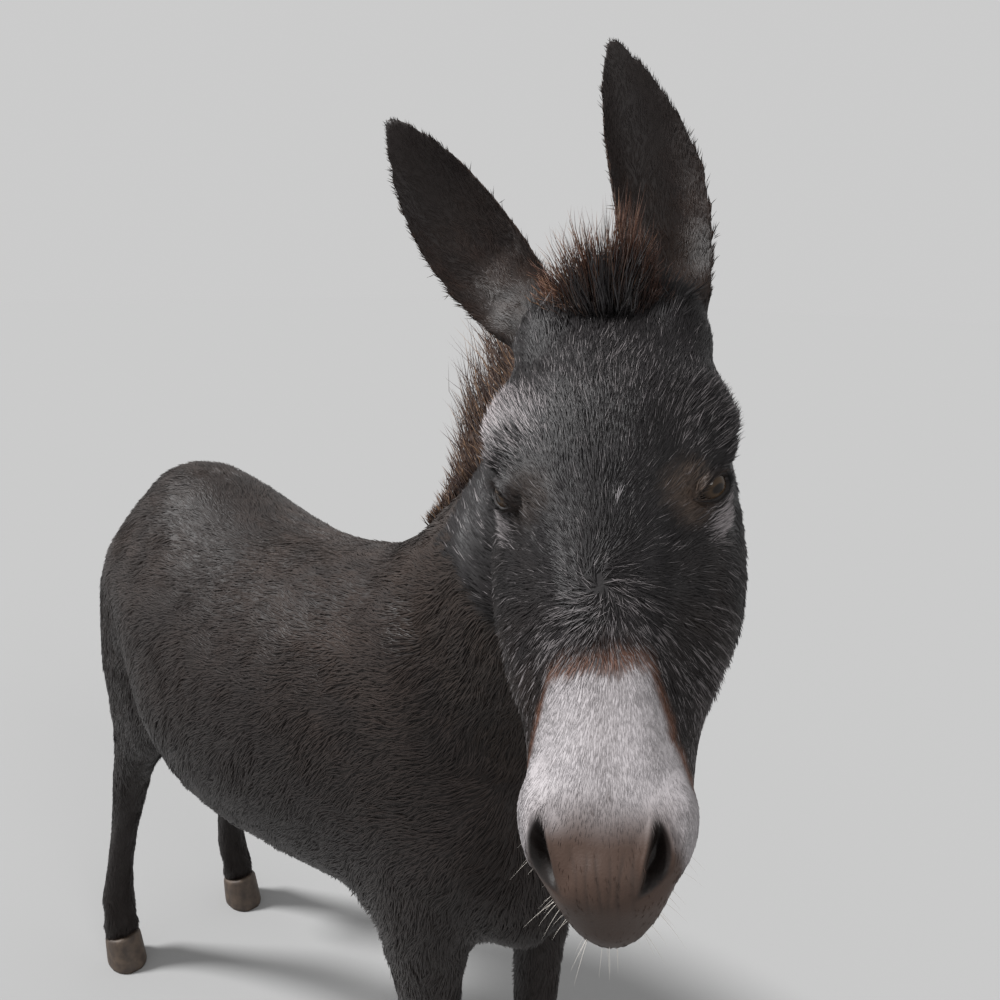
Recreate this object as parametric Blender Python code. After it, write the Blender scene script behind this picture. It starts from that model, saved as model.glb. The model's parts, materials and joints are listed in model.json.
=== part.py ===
"""A life-size standing donkey, in metres, +Z up, facing -Y with its left side at +X.

The body is modelled whole: lofted tubes for the trunk, neck, head and legs, with ellipsoids for the
muscles, merged by a voxel remesh, smoothed and thinned. It is then parted by thin cuts into the pieces
that a person would name. Ears, eyes, hooves, mane, forelock and tail are shapes of their own, each cut
back from the body that carries it. All sizes include the coat.
"""

import math

import bmesh
import bpy
import numpy as np
from mathutils import Euler, Matrix, Vector

# ---------------------------------------------------------------- driving sizes
WITHERS_Z = 1.065  # height at the withers
CROUP_Z = 1.095  # height at the top of the croup
HEAD_LENGTH = 0.50  # poll to the end of the lips
HEAD_WIDTH = 0.212  # across the brows
FORE_X, FORE_Y = 0.100, -0.430  # where a front leg's cannon stands
HIND_X, HIND_Y = 0.135, 0.548
CORONET_Z = 0.060  # top of the hoof wall at the middle
PARTING = 0.0004  # gap between neighbouring pieces

# the head's pose
POLL = Vector((-0.116, -0.672, 1.406))
HEAD_TURN = math.radians(49.5)  # to the animal's right
HEAD_DROP = math.radians(48)  # face line below the horizontal
HEAD_TILT = math.radians(8.5)

# ears: root and tip in the head's own frame, with how far the middle bows outward
EAR_ROOT = (0.056, 0.022, -0.034)
EAR_TIPS = {"left": (0.008, -0.218, 0.083), "right": (-0.196, -0.158, 0.074)}
EAR_BOWS = {"left": 0.014, "right": 0.007}
EAR_FACES = {"left": (0.30, 0.40, 0.86), "right": (-0.25, 0.45, 0.86)}

EYE_RADIUS = 0.0205
EYE_AT = (0.0695, 0.181, -0.0225)  # side, down the face, out of the forehead
GAZE = (0.66, 0.24, 0.71)  # the left eye, in the same directions

# how the surface is made
FORM_VOXEL = 0.006
BODY_TRIANGLES = 2700
HEAD_TRIANGLES = 1450


# ---------------------------------------------------------------- helpers
def clear_scene():
    for old in list(bpy.data.objects):
        bpy.data.objects.remove(old)


def new_object(name, vertices, faces):
    mesh = bpy.data.meshes.new(name)
    mesh.from_pydata([tuple(v) for v in vertices], [], faces)
    mesh.validate()
    made = bpy.data.objects.new(name, mesh)
    bpy.context.scene.collection.objects.link(made)
    return made


def catmull_rom(a, b, c, d, t):
    square = 2 * a - 5 * b + 4 * c - d
    cube = 3 * b - a - 3 * c + d
    return 0.5 * (2 * b + (c - a) * t + square * t**2 + cube * t**3)


def smooth_rows(rows, steps):
    """Rows of numbers joined by a Catmull-Rom curve, with this many steps from each row to the next."""
    rows = np.array(rows, float)
    ends = np.vstack([2 * rows[0] - rows[1], rows, 2 * rows[-1] - rows[-2]])
    found = []
    for a, b, c, d in zip(ends, ends[1:], ends[2:], ends[3:]):
        for t in np.arange(steps) / steps:
            found.append(catmull_rom(a, b, c, d, t))
    return np.array([*found, rows[-1]])


def closed_curve(points, steps):
    """A closed Catmull-Rom curve through these points."""
    points = np.array(points, float)
    found = []
    for i in range(len(points)):
        a, b, c, d = (points[(i + k) % len(points)] for k in (-1, 0, 1, 2))
        for t in np.arange(steps) / steps:
            found.append(catmull_rom(a, b, c, d, t))
    return np.array(found)


def egg(sides, upper=2.0, lower=2.0):
    """Unit ring of (side, up) points. An exponent of 2 is round, more is squarer, less is more pointed."""
    ring = []
    for k in range(sides):
        angle = 2 * math.pi * k / sides
        c, s = math.cos(angle), math.sin(angle)
        power = 2 / (upper if s > 0 else lower)
        ring.append((math.copysign(abs(c) ** power, c), math.copysign(abs(s) ** power, s)))
    return np.array(ring)


def loft(name, rings):
    """A closed tube through rings of points, capped at both ends."""
    rings = [np.asarray(r, float) for r in rings]
    sides = len(rings[0])
    vertices = np.vstack(rings)
    faces = []
    for k in range(len(rings) - 1):
        for j in range(sides):
            n = (j + 1) % sides
            here, there = k * sides, (k + 1) * sides
            faces.append((here + j, here + n, there + n))
            faces.append((here + j, there + n, there + j))
    faces.append(tuple(range(sides))[::-1])
    faces.append(tuple(range((len(rings) - 1) * sides, len(rings) * sides)))
    made = new_object(name, vertices, faces)
    outward(made)
    return made


def outward(made):
    mesh = bmesh.new()
    mesh.from_mesh(made.data)
    bmesh.ops.recalc_face_normals(mesh, faces=mesh.faces)
    mesh.to_mesh(made.data)
    mesh.free()


def ellipsoid(name, centre, radii, turn=(0, 0, 0), segments=24):
    """turn is about X, Y and Z, in degrees."""
    mesh = bmesh.new()
    bmesh.ops.create_uvsphere(mesh, u_segments=segments, v_segments=segments * 2 // 3, radius=1)
    angles = [math.radians(a) for a in turn]
    rotation = Euler(angles, "XYZ").to_matrix().to_4x4()
    mesh.transform(Matrix.Translation(centre) @ rotation @ Matrix.Diagonal((*radii, 1)))
    made = new_object(name, [v.co for v in mesh.verts], [[v.index for v in f.verts] for f in mesh.faces])
    mesh.free()
    return made


def both_sides(name, centre, radii, turn=(0, 0, 0)):
    """The same ellipsoid on the left (+X) and mirrored on the right."""
    x, y, z = centre
    tip, lean, swing = turn
    return [
        ellipsoid(name + "_left", (x, y, z), radii, (tip, lean, swing)),
        ellipsoid(name + "_right", (-x, y, z), radii, (tip, -lean, -swing)),
    ]


def apply_modifiers(made):
    graph = bpy.context.evaluated_depsgraph_get()
    mesh = bpy.data.meshes.new_from_object(made.evaluated_get(graph))
    made.modifiers.clear()
    made.data = mesh
    return made


def join(name, objects):
    vertices, faces = [], []
    for part in objects:
        start = len(vertices)
        vertices += [part.matrix_world @ v.co for v in part.data.vertices]
        faces += [[start + i for i in p.vertices] for p in part.data.polygons]
        bpy.data.objects.remove(part)
    return new_object(name, vertices, faces)


def merge(name, objects, voxel, rounds):
    """One closed skin round all these overlapping solids, with the joints between them smoothed."""
    made = join(name, objects)
    remesh = made.modifiers.new("Merge", "REMESH")
    remesh.mode = "VOXEL"
    remesh.voxel_size = voxel
    smooth = made.modifiers.new("Soften", "SMOOTH")
    smooth.factor = 0.5
    smooth.iterations = rounds
    return apply_modifiers(made)


def boolean(made, operation, cutter):
    step = made.modifiers.new(operation, "BOOLEAN")
    step.operation = operation
    step.object = cutter
    step.solver = "EXACT"
    bpy.context.view_layer.update()
    apply_modifiers(made)
    bpy.data.objects.remove(cutter)
    return made


def copy_of(made, name):
    twin = bpy.data.objects.new(name, made.data.copy())
    bpy.context.scene.collection.objects.link(twin)
    return twin


def inflated(made, by):
    """A copy pushed out along its normals, to cut a neighbour back with a gap."""
    twin = copy_of(made, made.name + "_wide")
    push = twin.modifiers.new("Push", "DISPLACE")
    push.strength = by
    push.mid_level = 0
    return apply_modifiers(twin)


# ---------------------------------------------------------------- trunk
TRUNK_ROWS = [
    # y, top, widest height, bottom, half width
    (-0.585, 0.830, 0.765, 0.690, 0.060),
    (-0.555, 0.905, 0.775, 0.630, 0.115),
    (-0.470, 1.000, 0.790, 0.575, 0.158),
    (-0.350, 1.050, 0.800, 0.555, 0.182),
    (-0.250, WITHERS_Z, 0.785, 0.545, 0.205),
    (-0.050, 1.028, 0.760, 0.528, 0.240),
    (0.100, 1.035, 0.765, 0.550, 0.240),
    (0.200, 1.070, 0.800, 0.626, 0.214),
    (0.295, CROUP_Z, 0.845, 0.690, 0.186),
    (0.380, 1.066, 0.855, 0.725, 0.150),
    (0.444, 0.975, 0.860, 0.745, 0.100),
    (0.484, 0.910, 0.860, 0.800, 0.046),
]
TRUNK_SIDES = 32


def trunk_forms():
    ring = egg(TRUNK_SIDES, upper=1.9, lower=2.1)
    rings = []
    for y, top, wide, bottom, half in smooth_rows(TRUNK_ROWS, 5):
        up = np.where(ring[:, 1] > 0, top - wide, wide - bottom) * ring[:, 1]
        rings.append(np.column_stack([half * ring[:, 0], np.full(len(ring), y), wide + up]))
    forms = [loft("trunk_form", rings)]
    forms += both_sides("shoulder_blade", (0.090, -0.420, 0.860), (0.066, 0.100, 0.200), (-26, 6, 0))
    forms += both_sides("triceps", (0.118, -0.365, 0.705), (0.054, 0.095, 0.115))
    forms += both_sides("shoulder_point", (0.090, -0.505, 0.755), (0.066, 0.075, 0.100))
    forms += both_sides("breast", (0.045, -0.535, 0.705), (0.060, 0.056, 0.105))
    forms += both_sides("hip", (0.082, 0.225, 0.930), (0.084, 0.115, 0.100))
    forms += both_sides("haunch", (0.096, 0.315, 0.815), (0.090, 0.150, 0.185), (0, 5, 0))
    forms += both_sides("buttock", (0.072, 0.398, 0.770), (0.067, 0.082, 0.150))
    forms.append(ellipsoid("tail_head", (0, 0.455, 0.975), (0.036, 0.046, 0.040)))
    return forms


# ---------------------------------------------------------------- legs
FORELEG_ROWS = [
    # height, x, y, half width, forward reach, backward reach
    (0.860, 0.085, -0.435, 0.030, 0.050, 0.050),
    (0.760, 0.115, -0.435, 0.052, 0.090, 0.095),
    (0.650, 0.118, -0.430, 0.053, 0.080, 0.092),
    (0.540, 0.108, -0.428, 0.043, 0.054, 0.060),
    (0.450, 0.102, -0.432, 0.035, 0.040, 0.041),
    (0.395, FORE_X, FORE_Y, 0.036, 0.038, 0.036),
    (0.350, FORE_X, FORE_Y, 0.040, 0.041, 0.036),
    (0.315, FORE_X, FORE_Y, 0.036, 0.036, 0.034),
    (0.270, FORE_X, FORE_Y, 0.0275, 0.028, 0.031),
    (0.205, FORE_X, FORE_Y, 0.0260, 0.027, 0.030),
    (0.165, FORE_X, FORE_Y - 0.002, 0.031, 0.030, 0.037),
    (0.138, FORE_X, FORE_Y - 0.007, 0.0325, 0.031, 0.041),
    (0.108, FORE_X, FORE_Y - 0.020, 0.0285, 0.030, 0.032),
    (0.082, FORE_X, FORE_Y - 0.031, 0.0305, 0.033, 0.035),
    (0.045, FORE_X, FORE_Y - 0.040, 0.0290, 0.034, 0.034),
]
HIND_LEG_ROWS = [
    (0.930, 0.070, 0.350, 0.030, 0.060, 0.060),
    (0.840, 0.095, 0.350, 0.064, 0.115, 0.120),
    (0.740, 0.110, 0.345, 0.073, 0.138, 0.130),
    (0.660, 0.118, 0.335, 0.064, 0.134, 0.106),
    (0.580, 0.120, 0.362, 0.049, 0.102, 0.078),
    (0.520, 0.115, 0.402, 0.040, 0.072, 0.074),
    (0.470, 0.110, 0.438, 0.036, 0.052, 0.070),
    (0.425, 0.108, 0.460, 0.037, 0.047, 0.055),
    (0.385, 0.109, 0.474, 0.0365, 0.044, 0.044),
    (0.335, 0.113, 0.489, 0.029, 0.033, 0.034),
    (0.255, 0.120, 0.508, 0.027, 0.0285, 0.031),
    (0.195, 0.126, 0.521, 0.0275, 0.029, 0.032),
    (0.162, 0.129, 0.525, 0.0325, 0.0315, 0.038),
    (0.136, 0.131, 0.524, 0.0335, 0.032, 0.042),
    (0.108, 0.133, 0.517, 0.0295, 0.030, 0.032),
    (0.082, 0.135, 0.512, 0.0315, 0.033, 0.035),
    (0.045, HIND_X, HIND_Y - 0.041, 0.0290, 0.034, 0.034),
]
LEG_SIDES = 20


def leg_form(name, rows, side):
    ring = egg(LEG_SIDES, 2.2, 2.2)
    rings = []
    for z, x, y, half, ahead, behind in smooth_rows(rows, 4):
        along = np.where(ring[:, 1] > 0, behind, ahead) * ring[:, 1]
        rings.append(np.column_stack([side * x + half * ring[:, 0], y + along, np.full(len(ring), z)]))
    return loft(name, rings)


def leg_forms():
    forms = []
    for side in (1, -1):
        forms.append(leg_form("foreleg_form", FORELEG_ROWS, side))
        forms.append(leg_form("hind_leg_form", HIND_LEG_ROWS, side))
    forms += both_sides("stifle", (0.118, 0.245, 0.665), (0.054, 0.062, 0.095), (20, 0, 0))
    forms += both_sides("hock_point", (0.108, 0.490, 0.476), (0.022, 0.024, 0.060), (8, 0, 0))
    forms += both_sides("fore_ergot", (FORE_X, FORE_Y + 0.022, 0.128), (0.018, 0.016, 0.020))
    forms += both_sides("hind_ergot", (0.130, 0.548, 0.126), (0.018, 0.016, 0.020))
    return forms


# ---------------------------------------------------------------- head
def head_matrix():
    """Head's own frame to the world: X to its left, Y down the face, Z out of the forehead."""
    down = Vector((0, -math.cos(HEAD_DROP), -math.sin(HEAD_DROP)))
    out = Vector((0, -math.sin(HEAD_DROP), math.cos(HEAD_DROP)))
    frame = Matrix((Vector((1, 0, 0)), down, out)).transposed().to_4x4()
    tilt = Matrix.Rotation(HEAD_TILT, 4, down)
    return Matrix.Translation(POLL) @ Matrix.Rotation(-HEAD_TURN, 4, "Z") @ tilt @ frame


def place_on_head(made, at=(0, 0, 0)):
    made.data.transform(head_matrix() @ Matrix.Translation(at))
    outward(made)
    return made


HEAD_ROWS = [
    # down the face, top, bottom, half width near the top, in the middle and low down
    (-0.030, -0.040, -0.175, 0.038, 0.058, 0.054),
    (0.010, -0.004, -0.210, 0.054, 0.078, 0.071),
    (0.060, 0.016, -0.236, 0.070, 0.093, 0.087),
    (0.115, 0.025, -0.246, 0.082, 0.102, 0.094),
    (0.165, 0.023, -0.240, 0.082, 0.106, 0.095),
    (0.215, 0.014, -0.222, 0.070, 0.106, 0.090),
    (0.265, 0.006, -0.194, 0.056, 0.098, 0.078),
    (0.320, 0.001, -0.162, 0.047, 0.081, 0.061),
    (0.375, -0.002, -0.138, 0.045, 0.064, 0.048),
    (0.425, -0.003, -0.126, 0.048, 0.056, 0.037),
    (0.462, -0.014, -0.119, 0.043, 0.046, 0.030),
    (0.488, -0.036, -0.112, 0.028, 0.032, 0.023),
    (HEAD_LENGTH, -0.058, -0.100, 0.015, 0.018, 0.013),
]


def head_ring(top, bottom, high, middle, low):
    depth = top - bottom
    half = [
        (0.62 * high, top - 0.025 * depth),
        (high, top - 0.14 * depth),
        (middle, top - 0.42 * depth),
        (low, top - 0.80 * depth),
        (0.62 * low, top - 0.96 * depth),
    ]
    left = [(0, top), *half, (0, bottom)]
    return closed_curve(left + [(-x, z) for x, z in reversed(half)], 3)


def head_forms():
    rings = []
    for down, *section in smooth_rows(HEAD_ROWS, 4):
        ring = head_ring(*section)
        rings.append(np.column_stack([ring[:, 0], np.full(len(ring), down), ring[:, 1]]))
    brow_x = HEAD_WIDTH / 2 - 0.030
    forms = [loft("skull_form", rings)]
    forms += both_sides("brow", (brow_x, 0.130, -0.010), (0.028, 0.050, 0.024), (0, 14, -10))
    forms += both_sides("brow_tail", (brow_x - 0.006, 0.108, -0.040), (0.031, 0.066, 0.046))
    forms += both_sides("eye_mound", (0.070, 0.186, -0.030), (0.026, 0.034, 0.025))
    forms += both_sides("cheek", (0.069, 0.185, -0.146), (0.044, 0.118, 0.085))
    forms += both_sides("face_crest", (0.058, 0.252, -0.052), (0.021, 0.066, 0.024), (0, 0, 13))
    forms += both_sides("nostril_wing", (0.043, 0.432, -0.036), (0.019, 0.037, 0.030), (0, 0, 13))
    forms += both_sides("ear_root", (0.052, 0.036, -0.042), (0.040, 0.064, 0.050))
    forms.append(ellipsoid("nose_end", (0, 0.463, -0.038), (0.045, 0.030, 0.032)))
    forms.append(ellipsoid("upper_lip", (0, 0.480, -0.062), (0.031, 0.027, 0.034)))
    forms.append(ellipsoid("lower_lip", (0, 0.468, -0.100), (0.026, 0.030, 0.022)))
    forms.append(ellipsoid("chin", (0, 0.442, -0.118), (0.025, 0.030, 0.018)))
    return [place_on_head(form) for form in forms]


# ---------------------------------------------------------------- neck
NECK_ROWS = [
    # centre x, y, z, reach towards the crest, reach towards the throat, half width
    (0.000, -0.320, 0.880, 0.190, 0.190, 0.150),
    (-0.004, -0.410, 0.950, 0.188, 0.185, 0.128),
    (-0.018, -0.480, 1.030, 0.182, 0.165, 0.108),
    (-0.038, -0.535, 1.115, 0.156, 0.142, 0.094),
    (-0.062, -0.585, 1.200, 0.128, 0.126, 0.084),
    (-0.088, -0.630, 1.275, 0.110, 0.112, 0.078),
    (-0.108, -0.660, 1.320, 0.098, 0.102, 0.070),
]
NECK_SIDES = 28


def neck_rings(rows):
    """Rings square to the neck's own line, each with (centre, side, crest direction)."""
    centres = rows[:, :3]
    tangents = np.gradient(centres, axis=0)
    rings = []
    for row, tangent in zip(rows, tangents):
        tangent = tangent / np.linalg.norm(tangent)
        side = np.cross([0, 0, 1], tangent)
        side = -side / np.linalg.norm(side)
        crest = np.cross(tangent, side)
        crest = crest if crest[2] > 0 else -crest
        rings.append((row, side, crest))
    return rings


def neck_forms():
    ring = egg(NECK_SIDES, 1.8, 2.0)
    rings = []
    for row, side, crest in neck_rings(smooth_rows(NECK_ROWS, 4)):
        up = np.where(ring[:, 1] > 0, row[3], row[4]) * ring[:, 1]
        rings.append(row[:3] + np.outer(ring[:, 0] * row[5], side) + np.outer(up, crest))
    return [loft("neck_form", rings)]


# ---------------------------------------------------------------- ears, eyes, hooves, hair
EAR_ROWS = [
    # part of the length, half width, depth of the back, how hollow, thickness
    (0.00, 0.030, 0.030, 0.00, 0.012),
    (0.10, 0.035, 0.032, 0.25, 0.011),
    (0.22, 0.040, 0.034, 0.80, 0.010),
    (0.36, 0.044, 0.034, 1.00, 0.009),
    (0.52, 0.044, 0.031, 1.00, 0.009),
    (0.68, 0.039, 0.026, 1.00, 0.008),
    (0.82, 0.029, 0.018, 1.00, 0.008),
    (0.93, 0.017, 0.011, 0.90, 0.007),
    (1.00, 0.007, 0.006, 0.50, 0.005),
]


def ear(side, grow=0.0):
    """A cupped leaf, open to its face. With some grow it is the filled shape that seats it in the head."""
    sign = 1 if side == "left" else -1
    root = Vector((sign * EAR_ROOT[0], EAR_ROOT[1], EAR_ROOT[2]))
    tip = Vector(EAR_TIPS[side])
    along = tip - root
    face = Vector(EAR_FACES[side])
    face = (face - face.project(along)).normalized()
    outward_side = face.cross(along).normalized()
    if outward_side.x * sign < 0:
        outward_side = -outward_side
    rings = []
    for part, half, deep, hollow, thick in EAR_ROWS:
        if grow:
            part, half, deep, hollow = part * 1.01 - 0.005, half + grow, deep + grow, 0
        middle = root + along * part + outward_side * (EAR_BOWS[side] * math.sin(math.pi * part))
        back, front = [], []
        for k in range(9):
            angle = math.radians(-100 + 25 * k)
            back.append((half * math.sin(angle), -deep * math.cos(angle)))
        for k in range(1, 8):
            angle = math.radians(100 - 25 * k)
            cup = -(deep - thick) * math.cos(angle)
            filled = 0.55 * deep * math.cos(angle) + 0.1 * deep
            front.append(((half - 0.6 * thick) * math.sin(angle), hollow * cup + (1 - hollow) * filled))
        ring = [middle + outward_side * a + face * b for a, b in back + front]
        rings.append([head_matrix() @ p for p in ring])
    return loft("ear_" + side, rings)


def eye(side):
    sign = 1 if side == "left" else -1
    made = ellipsoid("eye_" + side, (0, 0, 0), (EYE_RADIUS,) * 3, segments=12)
    return place_on_head(made, (sign * EYE_AT[0], EYE_AT[1], EYE_AT[2]))


def hoof(name, x, y):
    """A narrow upright hoof with a flat sole; the toe points at -Y."""
    rows = [
        # height, forward centre, half width, reach to the toe, reach to the heel, slope of the ring
        (0.000, -0.048, 0.0340, 0.0480, 0.0360, 0.000),
        (0.003, -0.048, 0.0360, 0.0500, 0.0380, 0.000),
        (0.030, -0.043, 0.0345, 0.0435, 0.0380, 0.150),
        (CORONET_Z - 0.004, -0.039, 0.0330, 0.0375, 0.0375, 0.260),
        (CORONET_Z, -0.038, 0.0305, 0.0350, 0.0350, 0.280),
    ]
    ring = egg(20, 2.2, 2.3)
    rings = []
    for z, centre, half, toe, heel, slope in rows:
        along = np.where(ring[:, 1] > 0, heel, toe) * ring[:, 1]
        rings.append(np.column_stack([x + half * ring[:, 0], y + centre + along, z - slope * along]))
    return loft(name, rings)


def mane(grow=0.0):
    """An upright ridge of hair along the crest, tallest half way and low at the withers."""
    rows = neck_rings(smooth_rows(NECK_ROWS, 3))[4:-2]
    rings = []
    for k, (row, side, crest) in enumerate(rows):
        part = k / (len(rows) - 1)
        rise = min(1, part / 0.52)
        tall = 0.016 + 0.110 * rise**1.4 * (1.6 - 0.6 * rise) - 0.060 * part**4 + grow
        half = 0.020 + grow
        ahead = np.cross(side, crest)
        ahead = ahead if ahead[2] > 0 else -ahead
        base = row[:3] + crest * (row[3] - 0.030) + ahead * grow * (2 * part - 1)
        shape = [
            (-half, -grow),
            (-half, 0.030),
            (-0.4 * half, 0.026 + tall),
            (0.4 * half, 0.026 + tall),
            (half, 0.030),
            (half, -grow),
        ]
        rings.append([base + side * a + crest * b for a, b in shape])
    return loft("mane", rings)


FORELOCK_LOCKS = [
    # root to the side, lean to the side and forward in degrees, length
    (-0.021, -42, 4, 0.054),
    (-0.014, -28, 10, 0.070),
    (-0.007, -16, 2, 0.080),
    (0.000, -5, 12, 0.076),
    (0.006, 4, 0, 0.082),
    (0.012, 14, 9, 0.074),
    (0.019, 27, 3, 0.058),
]


def forelock():
    """The tuft between the ears: stiff locks that fan upward."""
    up = Vector((0, -0.743, 0.669))
    ahead = Vector((0, 0.669, 0.743))
    ring = egg(8)
    locks = []
    for x, aside, forward, length in FORELOCK_LOCKS:
        lean = Vector((math.tan(math.radians(aside)), 0, 0)) + ahead * math.tan(math.radians(forward))
        along = (up + lean).normalized()
        side = along.cross(ahead).normalized()
        thick = side.cross(along)
        rings = []
        for part, half in ((-0.30, 0.012), (0.10, 0.015), (0.45, 0.014), (0.78, 0.010), (1.00, 0.004)):
            centre = Vector((x, 0.004, -0.004)) + along * (length * part)
            rings.append([centre + side * (half * a) + thick * (0.75 * half * b) for a, b in ring])
        locks.append(place_on_head(loft("lock", rings)))
    return thinned(merge("forelock", locks, 0.0035, 2), 300)


TAIL_ROWS = [
    # x, y, z, half width, half thickness
    (0.000, 0.435, 1.005, 0.022, 0.018),
    (0.002, 0.480, 0.988, 0.024, 0.021),
    (0.006, 0.509, 0.930, 0.026, 0.023),
    (0.012, 0.520, 0.840, 0.026, 0.024),
    (0.016, 0.525, 0.740, 0.027, 0.026),
    (0.018, 0.530, 0.650, 0.033, 0.030),
    (0.020, 0.532, 0.560, 0.038, 0.034),
    (0.020, 0.530, 0.480, 0.037, 0.033),
    (0.019, 0.526, 0.410, 0.028, 0.026),
    (0.018, 0.522, 0.360, 0.010, 0.010),
]


def tail():
    ring = egg(14, 2, 2)
    rows = np.array(TAIL_ROWS)
    tangents = np.gradient(rows[:, :3], axis=0)
    rings = []
    for row, tangent in zip(rows, tangents):
        tangent = Vector(tangent).normalized()
        thick = Vector((1, 0, 0)).cross(tangent).normalized()
        rings.append([Vector(row[:3]) + Vector((row[3] * a, 0, 0)) + thick * (row[4] * b) for a, b in ring])
    return loft("tail", rings)


# ---------------------------------------------------------------- parting the body
def plane_block(name, point, normal, sizes, grow=0.0):
    """A block whose face lies at this point, square to this normal, and which fills the side behind it."""
    normal = Vector(normal).normalized()
    turn = normal.to_track_quat("Z", "Y").to_matrix().to_4x4()
    wide, long, deep = sizes
    mesh = bmesh.new()
    bmesh.ops.create_cube(mesh, size=1)
    mesh.transform(Matrix.Translation((0, 0, -deep / 2)) @ Matrix.Diagonal((wide, long, deep, 1)))
    mesh.transform(Matrix.Translation(Vector(point) + normal * grow) @ turn)
    made = new_object(name, [v.co for v in mesh.verts], [[v.index for v in f.verts] for f in mesh.faces])
    mesh.free()
    outward(made)
    return made


def leg_block(name, side, near_y, far_y, low, lean, rise, grow=0.0):
    """An upright block round one leg, its top rising outward from the midline."""
    corners = []
    for x in (0.012 - grow, 0.400):
        for y in (near_y - grow, far_y + grow):
            top = low + lean * x + rise * (y - near_y) + grow
            corners += [(side * x, y, -0.1), (side * x, y, top)]
    faces = [(0, 1, 3, 2), (4, 6, 7, 5), (0, 4, 5, 1), (2, 3, 7, 6), (1, 5, 7, 3), (0, 2, 6, 4)]
    made = new_object(name, corners, faces)
    outward(made)
    return made


def largest_piece(made):
    """Drop crumbs that a cut leaves beside the main piece."""
    mesh = bmesh.new()
    mesh.from_mesh(made.data)
    left = set(mesh.verts)
    islands = []
    while left:
        stack = [left.pop()]
        island = list(stack)
        while stack:
            for edge in stack.pop().link_edges:
                for vertex in edge.verts:
                    if vertex in left:
                        left.remove(vertex)
                        stack.append(vertex)
                        island.append(vertex)
        islands.append(island)
    islands.sort(key=len)
    for island in islands[:-1]:
        bmesh.ops.delete(mesh, geom=island, context="VERTS")
    mesh.to_mesh(made.data)
    mesh.free()
    return made


def thinned(made, triangles):
    made.data.calc_loop_triangles()
    thin = made.modifiers.new("Thin", "DECIMATE")
    thin.ratio = triangles / len(made.data.loop_triangles)
    return apply_modifiers(made)


def whole_body():
    """The body without ears, eyes, hooves, mane and tail, as one closed mesh."""
    bulk = merge("bulk", trunk_forms() + neck_forms(), 0.009, 14)
    return merge("body", [bulk] + leg_forms() + head_forms(), FORM_VOXEL, 10)


def head_block(name, grow=0.0):
    """Everything in front of a plane that passes behind the ears and the corner of the jaw."""
    frame = head_matrix()
    point = frame @ Vector((0, 0.004, -0.110))
    normal = frame.to_3x3() @ Vector((0, -0.954, -0.298))
    return plane_block(name, point, normal, (0.40, 0.42, 0.60), grow)


def neck_block(name, grow=0.0):
    """Everything in front of a plane from the withers to the breast."""
    return plane_block(name, (0, -0.460, 0.965), (0, 0.616, -0.788), (0.60, 0.56, 0.60), grow)


def part_body():
    """Thin the body, finer on the head, then cut it into head, neck, trunk and legs."""
    body = whole_body()
    head = copy_of(body, "head")
    boolean(head, "INTERSECT", head_block("head_loose", 0.015))
    boolean(body, "DIFFERENCE", head_block("rest_loose", -0.015))
    thinned(head, HEAD_TRIANGLES)
    thinned(body, BODY_TRIANGLES)
    boolean(head, "INTERSECT", head_block("head_cut"))
    boolean(body, "DIFFERENCE", head_block("rest_cut", PARTING))
    neck = copy_of(body, "neck")
    boolean(neck, "INTERSECT", neck_block("neck_cut"))
    boolean(body, "DIFFERENCE", neck_block("trunk_cut", PARTING))
    pieces = {"head": head, "neck": neck, "trunk": body}
    for side, sign in (("left", 1), ("right", -1)):
        for place, shape in LEG_CUTS.items():
            name = "leg_" + place + "_" + side
            pieces[name] = copy_of(body, name)
            boolean(pieces[name], "INTERSECT", leg_block(name + "_cut", sign, *shape))
            boolean(body, "DIFFERENCE", leg_block(name + "_off", sign, *shape, PARTING))
    for name, made in pieces.items():
        made.name = name
        largest_piece(made)
    return pieces


def cut_features(head):
    """Nostrils, the openings of the eyelids and the line between the lips."""
    for side in (1, -1):
        nostril = ellipsoid("nostril", (0, 0, 0), (0.0090, 0.0205, 0.0180), (0, side * 30, side * 12), 10)
        boolean(head, "DIFFERENCE", place_on_head(nostril, (side * 0.0365, 0.446, -0.011)))
        lids = ellipsoid("lids", (0, 0, 0), (0.0105, 0.0175, 0.0150), segments=10)
        gaze = Vector((side * GAZE[0], GAZE[1], GAZE[2])).normalized()
        lids.data.transform(gaze.to_track_quat("Z", "Y").to_matrix().to_4x4())
        at = Vector((side * EYE_AT[0], EYE_AT[1], EYE_AT[2])) + gaze * 0.021
        boolean(head, "DIFFERENCE", place_on_head(lids, at))
    lips = ellipsoid("lips", (0, 0, 0), (0.060, 0.060, 0.0020), (-8, 0, 0), 10)
    boolean(head, "DIFFERENCE", place_on_head(lips, (0, 0.452, -0.087)))


def boxes_meet(one, other):
    """Whether the upright boxes round two objects overlap."""
    a = np.array([one.matrix_world @ v.co for v in one.data.vertices])
    b = np.array([other.matrix_world @ v.co for v in other.data.vertices])
    return bool(np.all(a.min(0) < b.max(0)) and np.all(b.min(0) < a.max(0)))


def seat(feature, pieces, make_cutter=None):
    """Cut room for a feature out of every piece that it reaches into."""
    for made in pieces:
        if made is not feature and boxes_meet(feature, made):
            boolean(made, "DIFFERENCE", make_cutter() if make_cutter else inflated(feature, PARTING))
            largest_piece(made)


def colour(made, name, rgb, roughness):
    material = bpy.data.materials.get(name) or bpy.data.materials.new(name)
    material.use_nodes = True
    shader = material.node_tree.nodes["Principled BSDF"]
    shader.inputs["Base Color"].default_value = (*rgb, 1)
    shader.inputs["Roughness"].default_value = roughness
    shader.inputs["Metallic"].default_value = 0
    material.diffuse_color = (*rgb, 1)
    made.data.materials.clear()
    made.data.materials.append(material)


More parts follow.
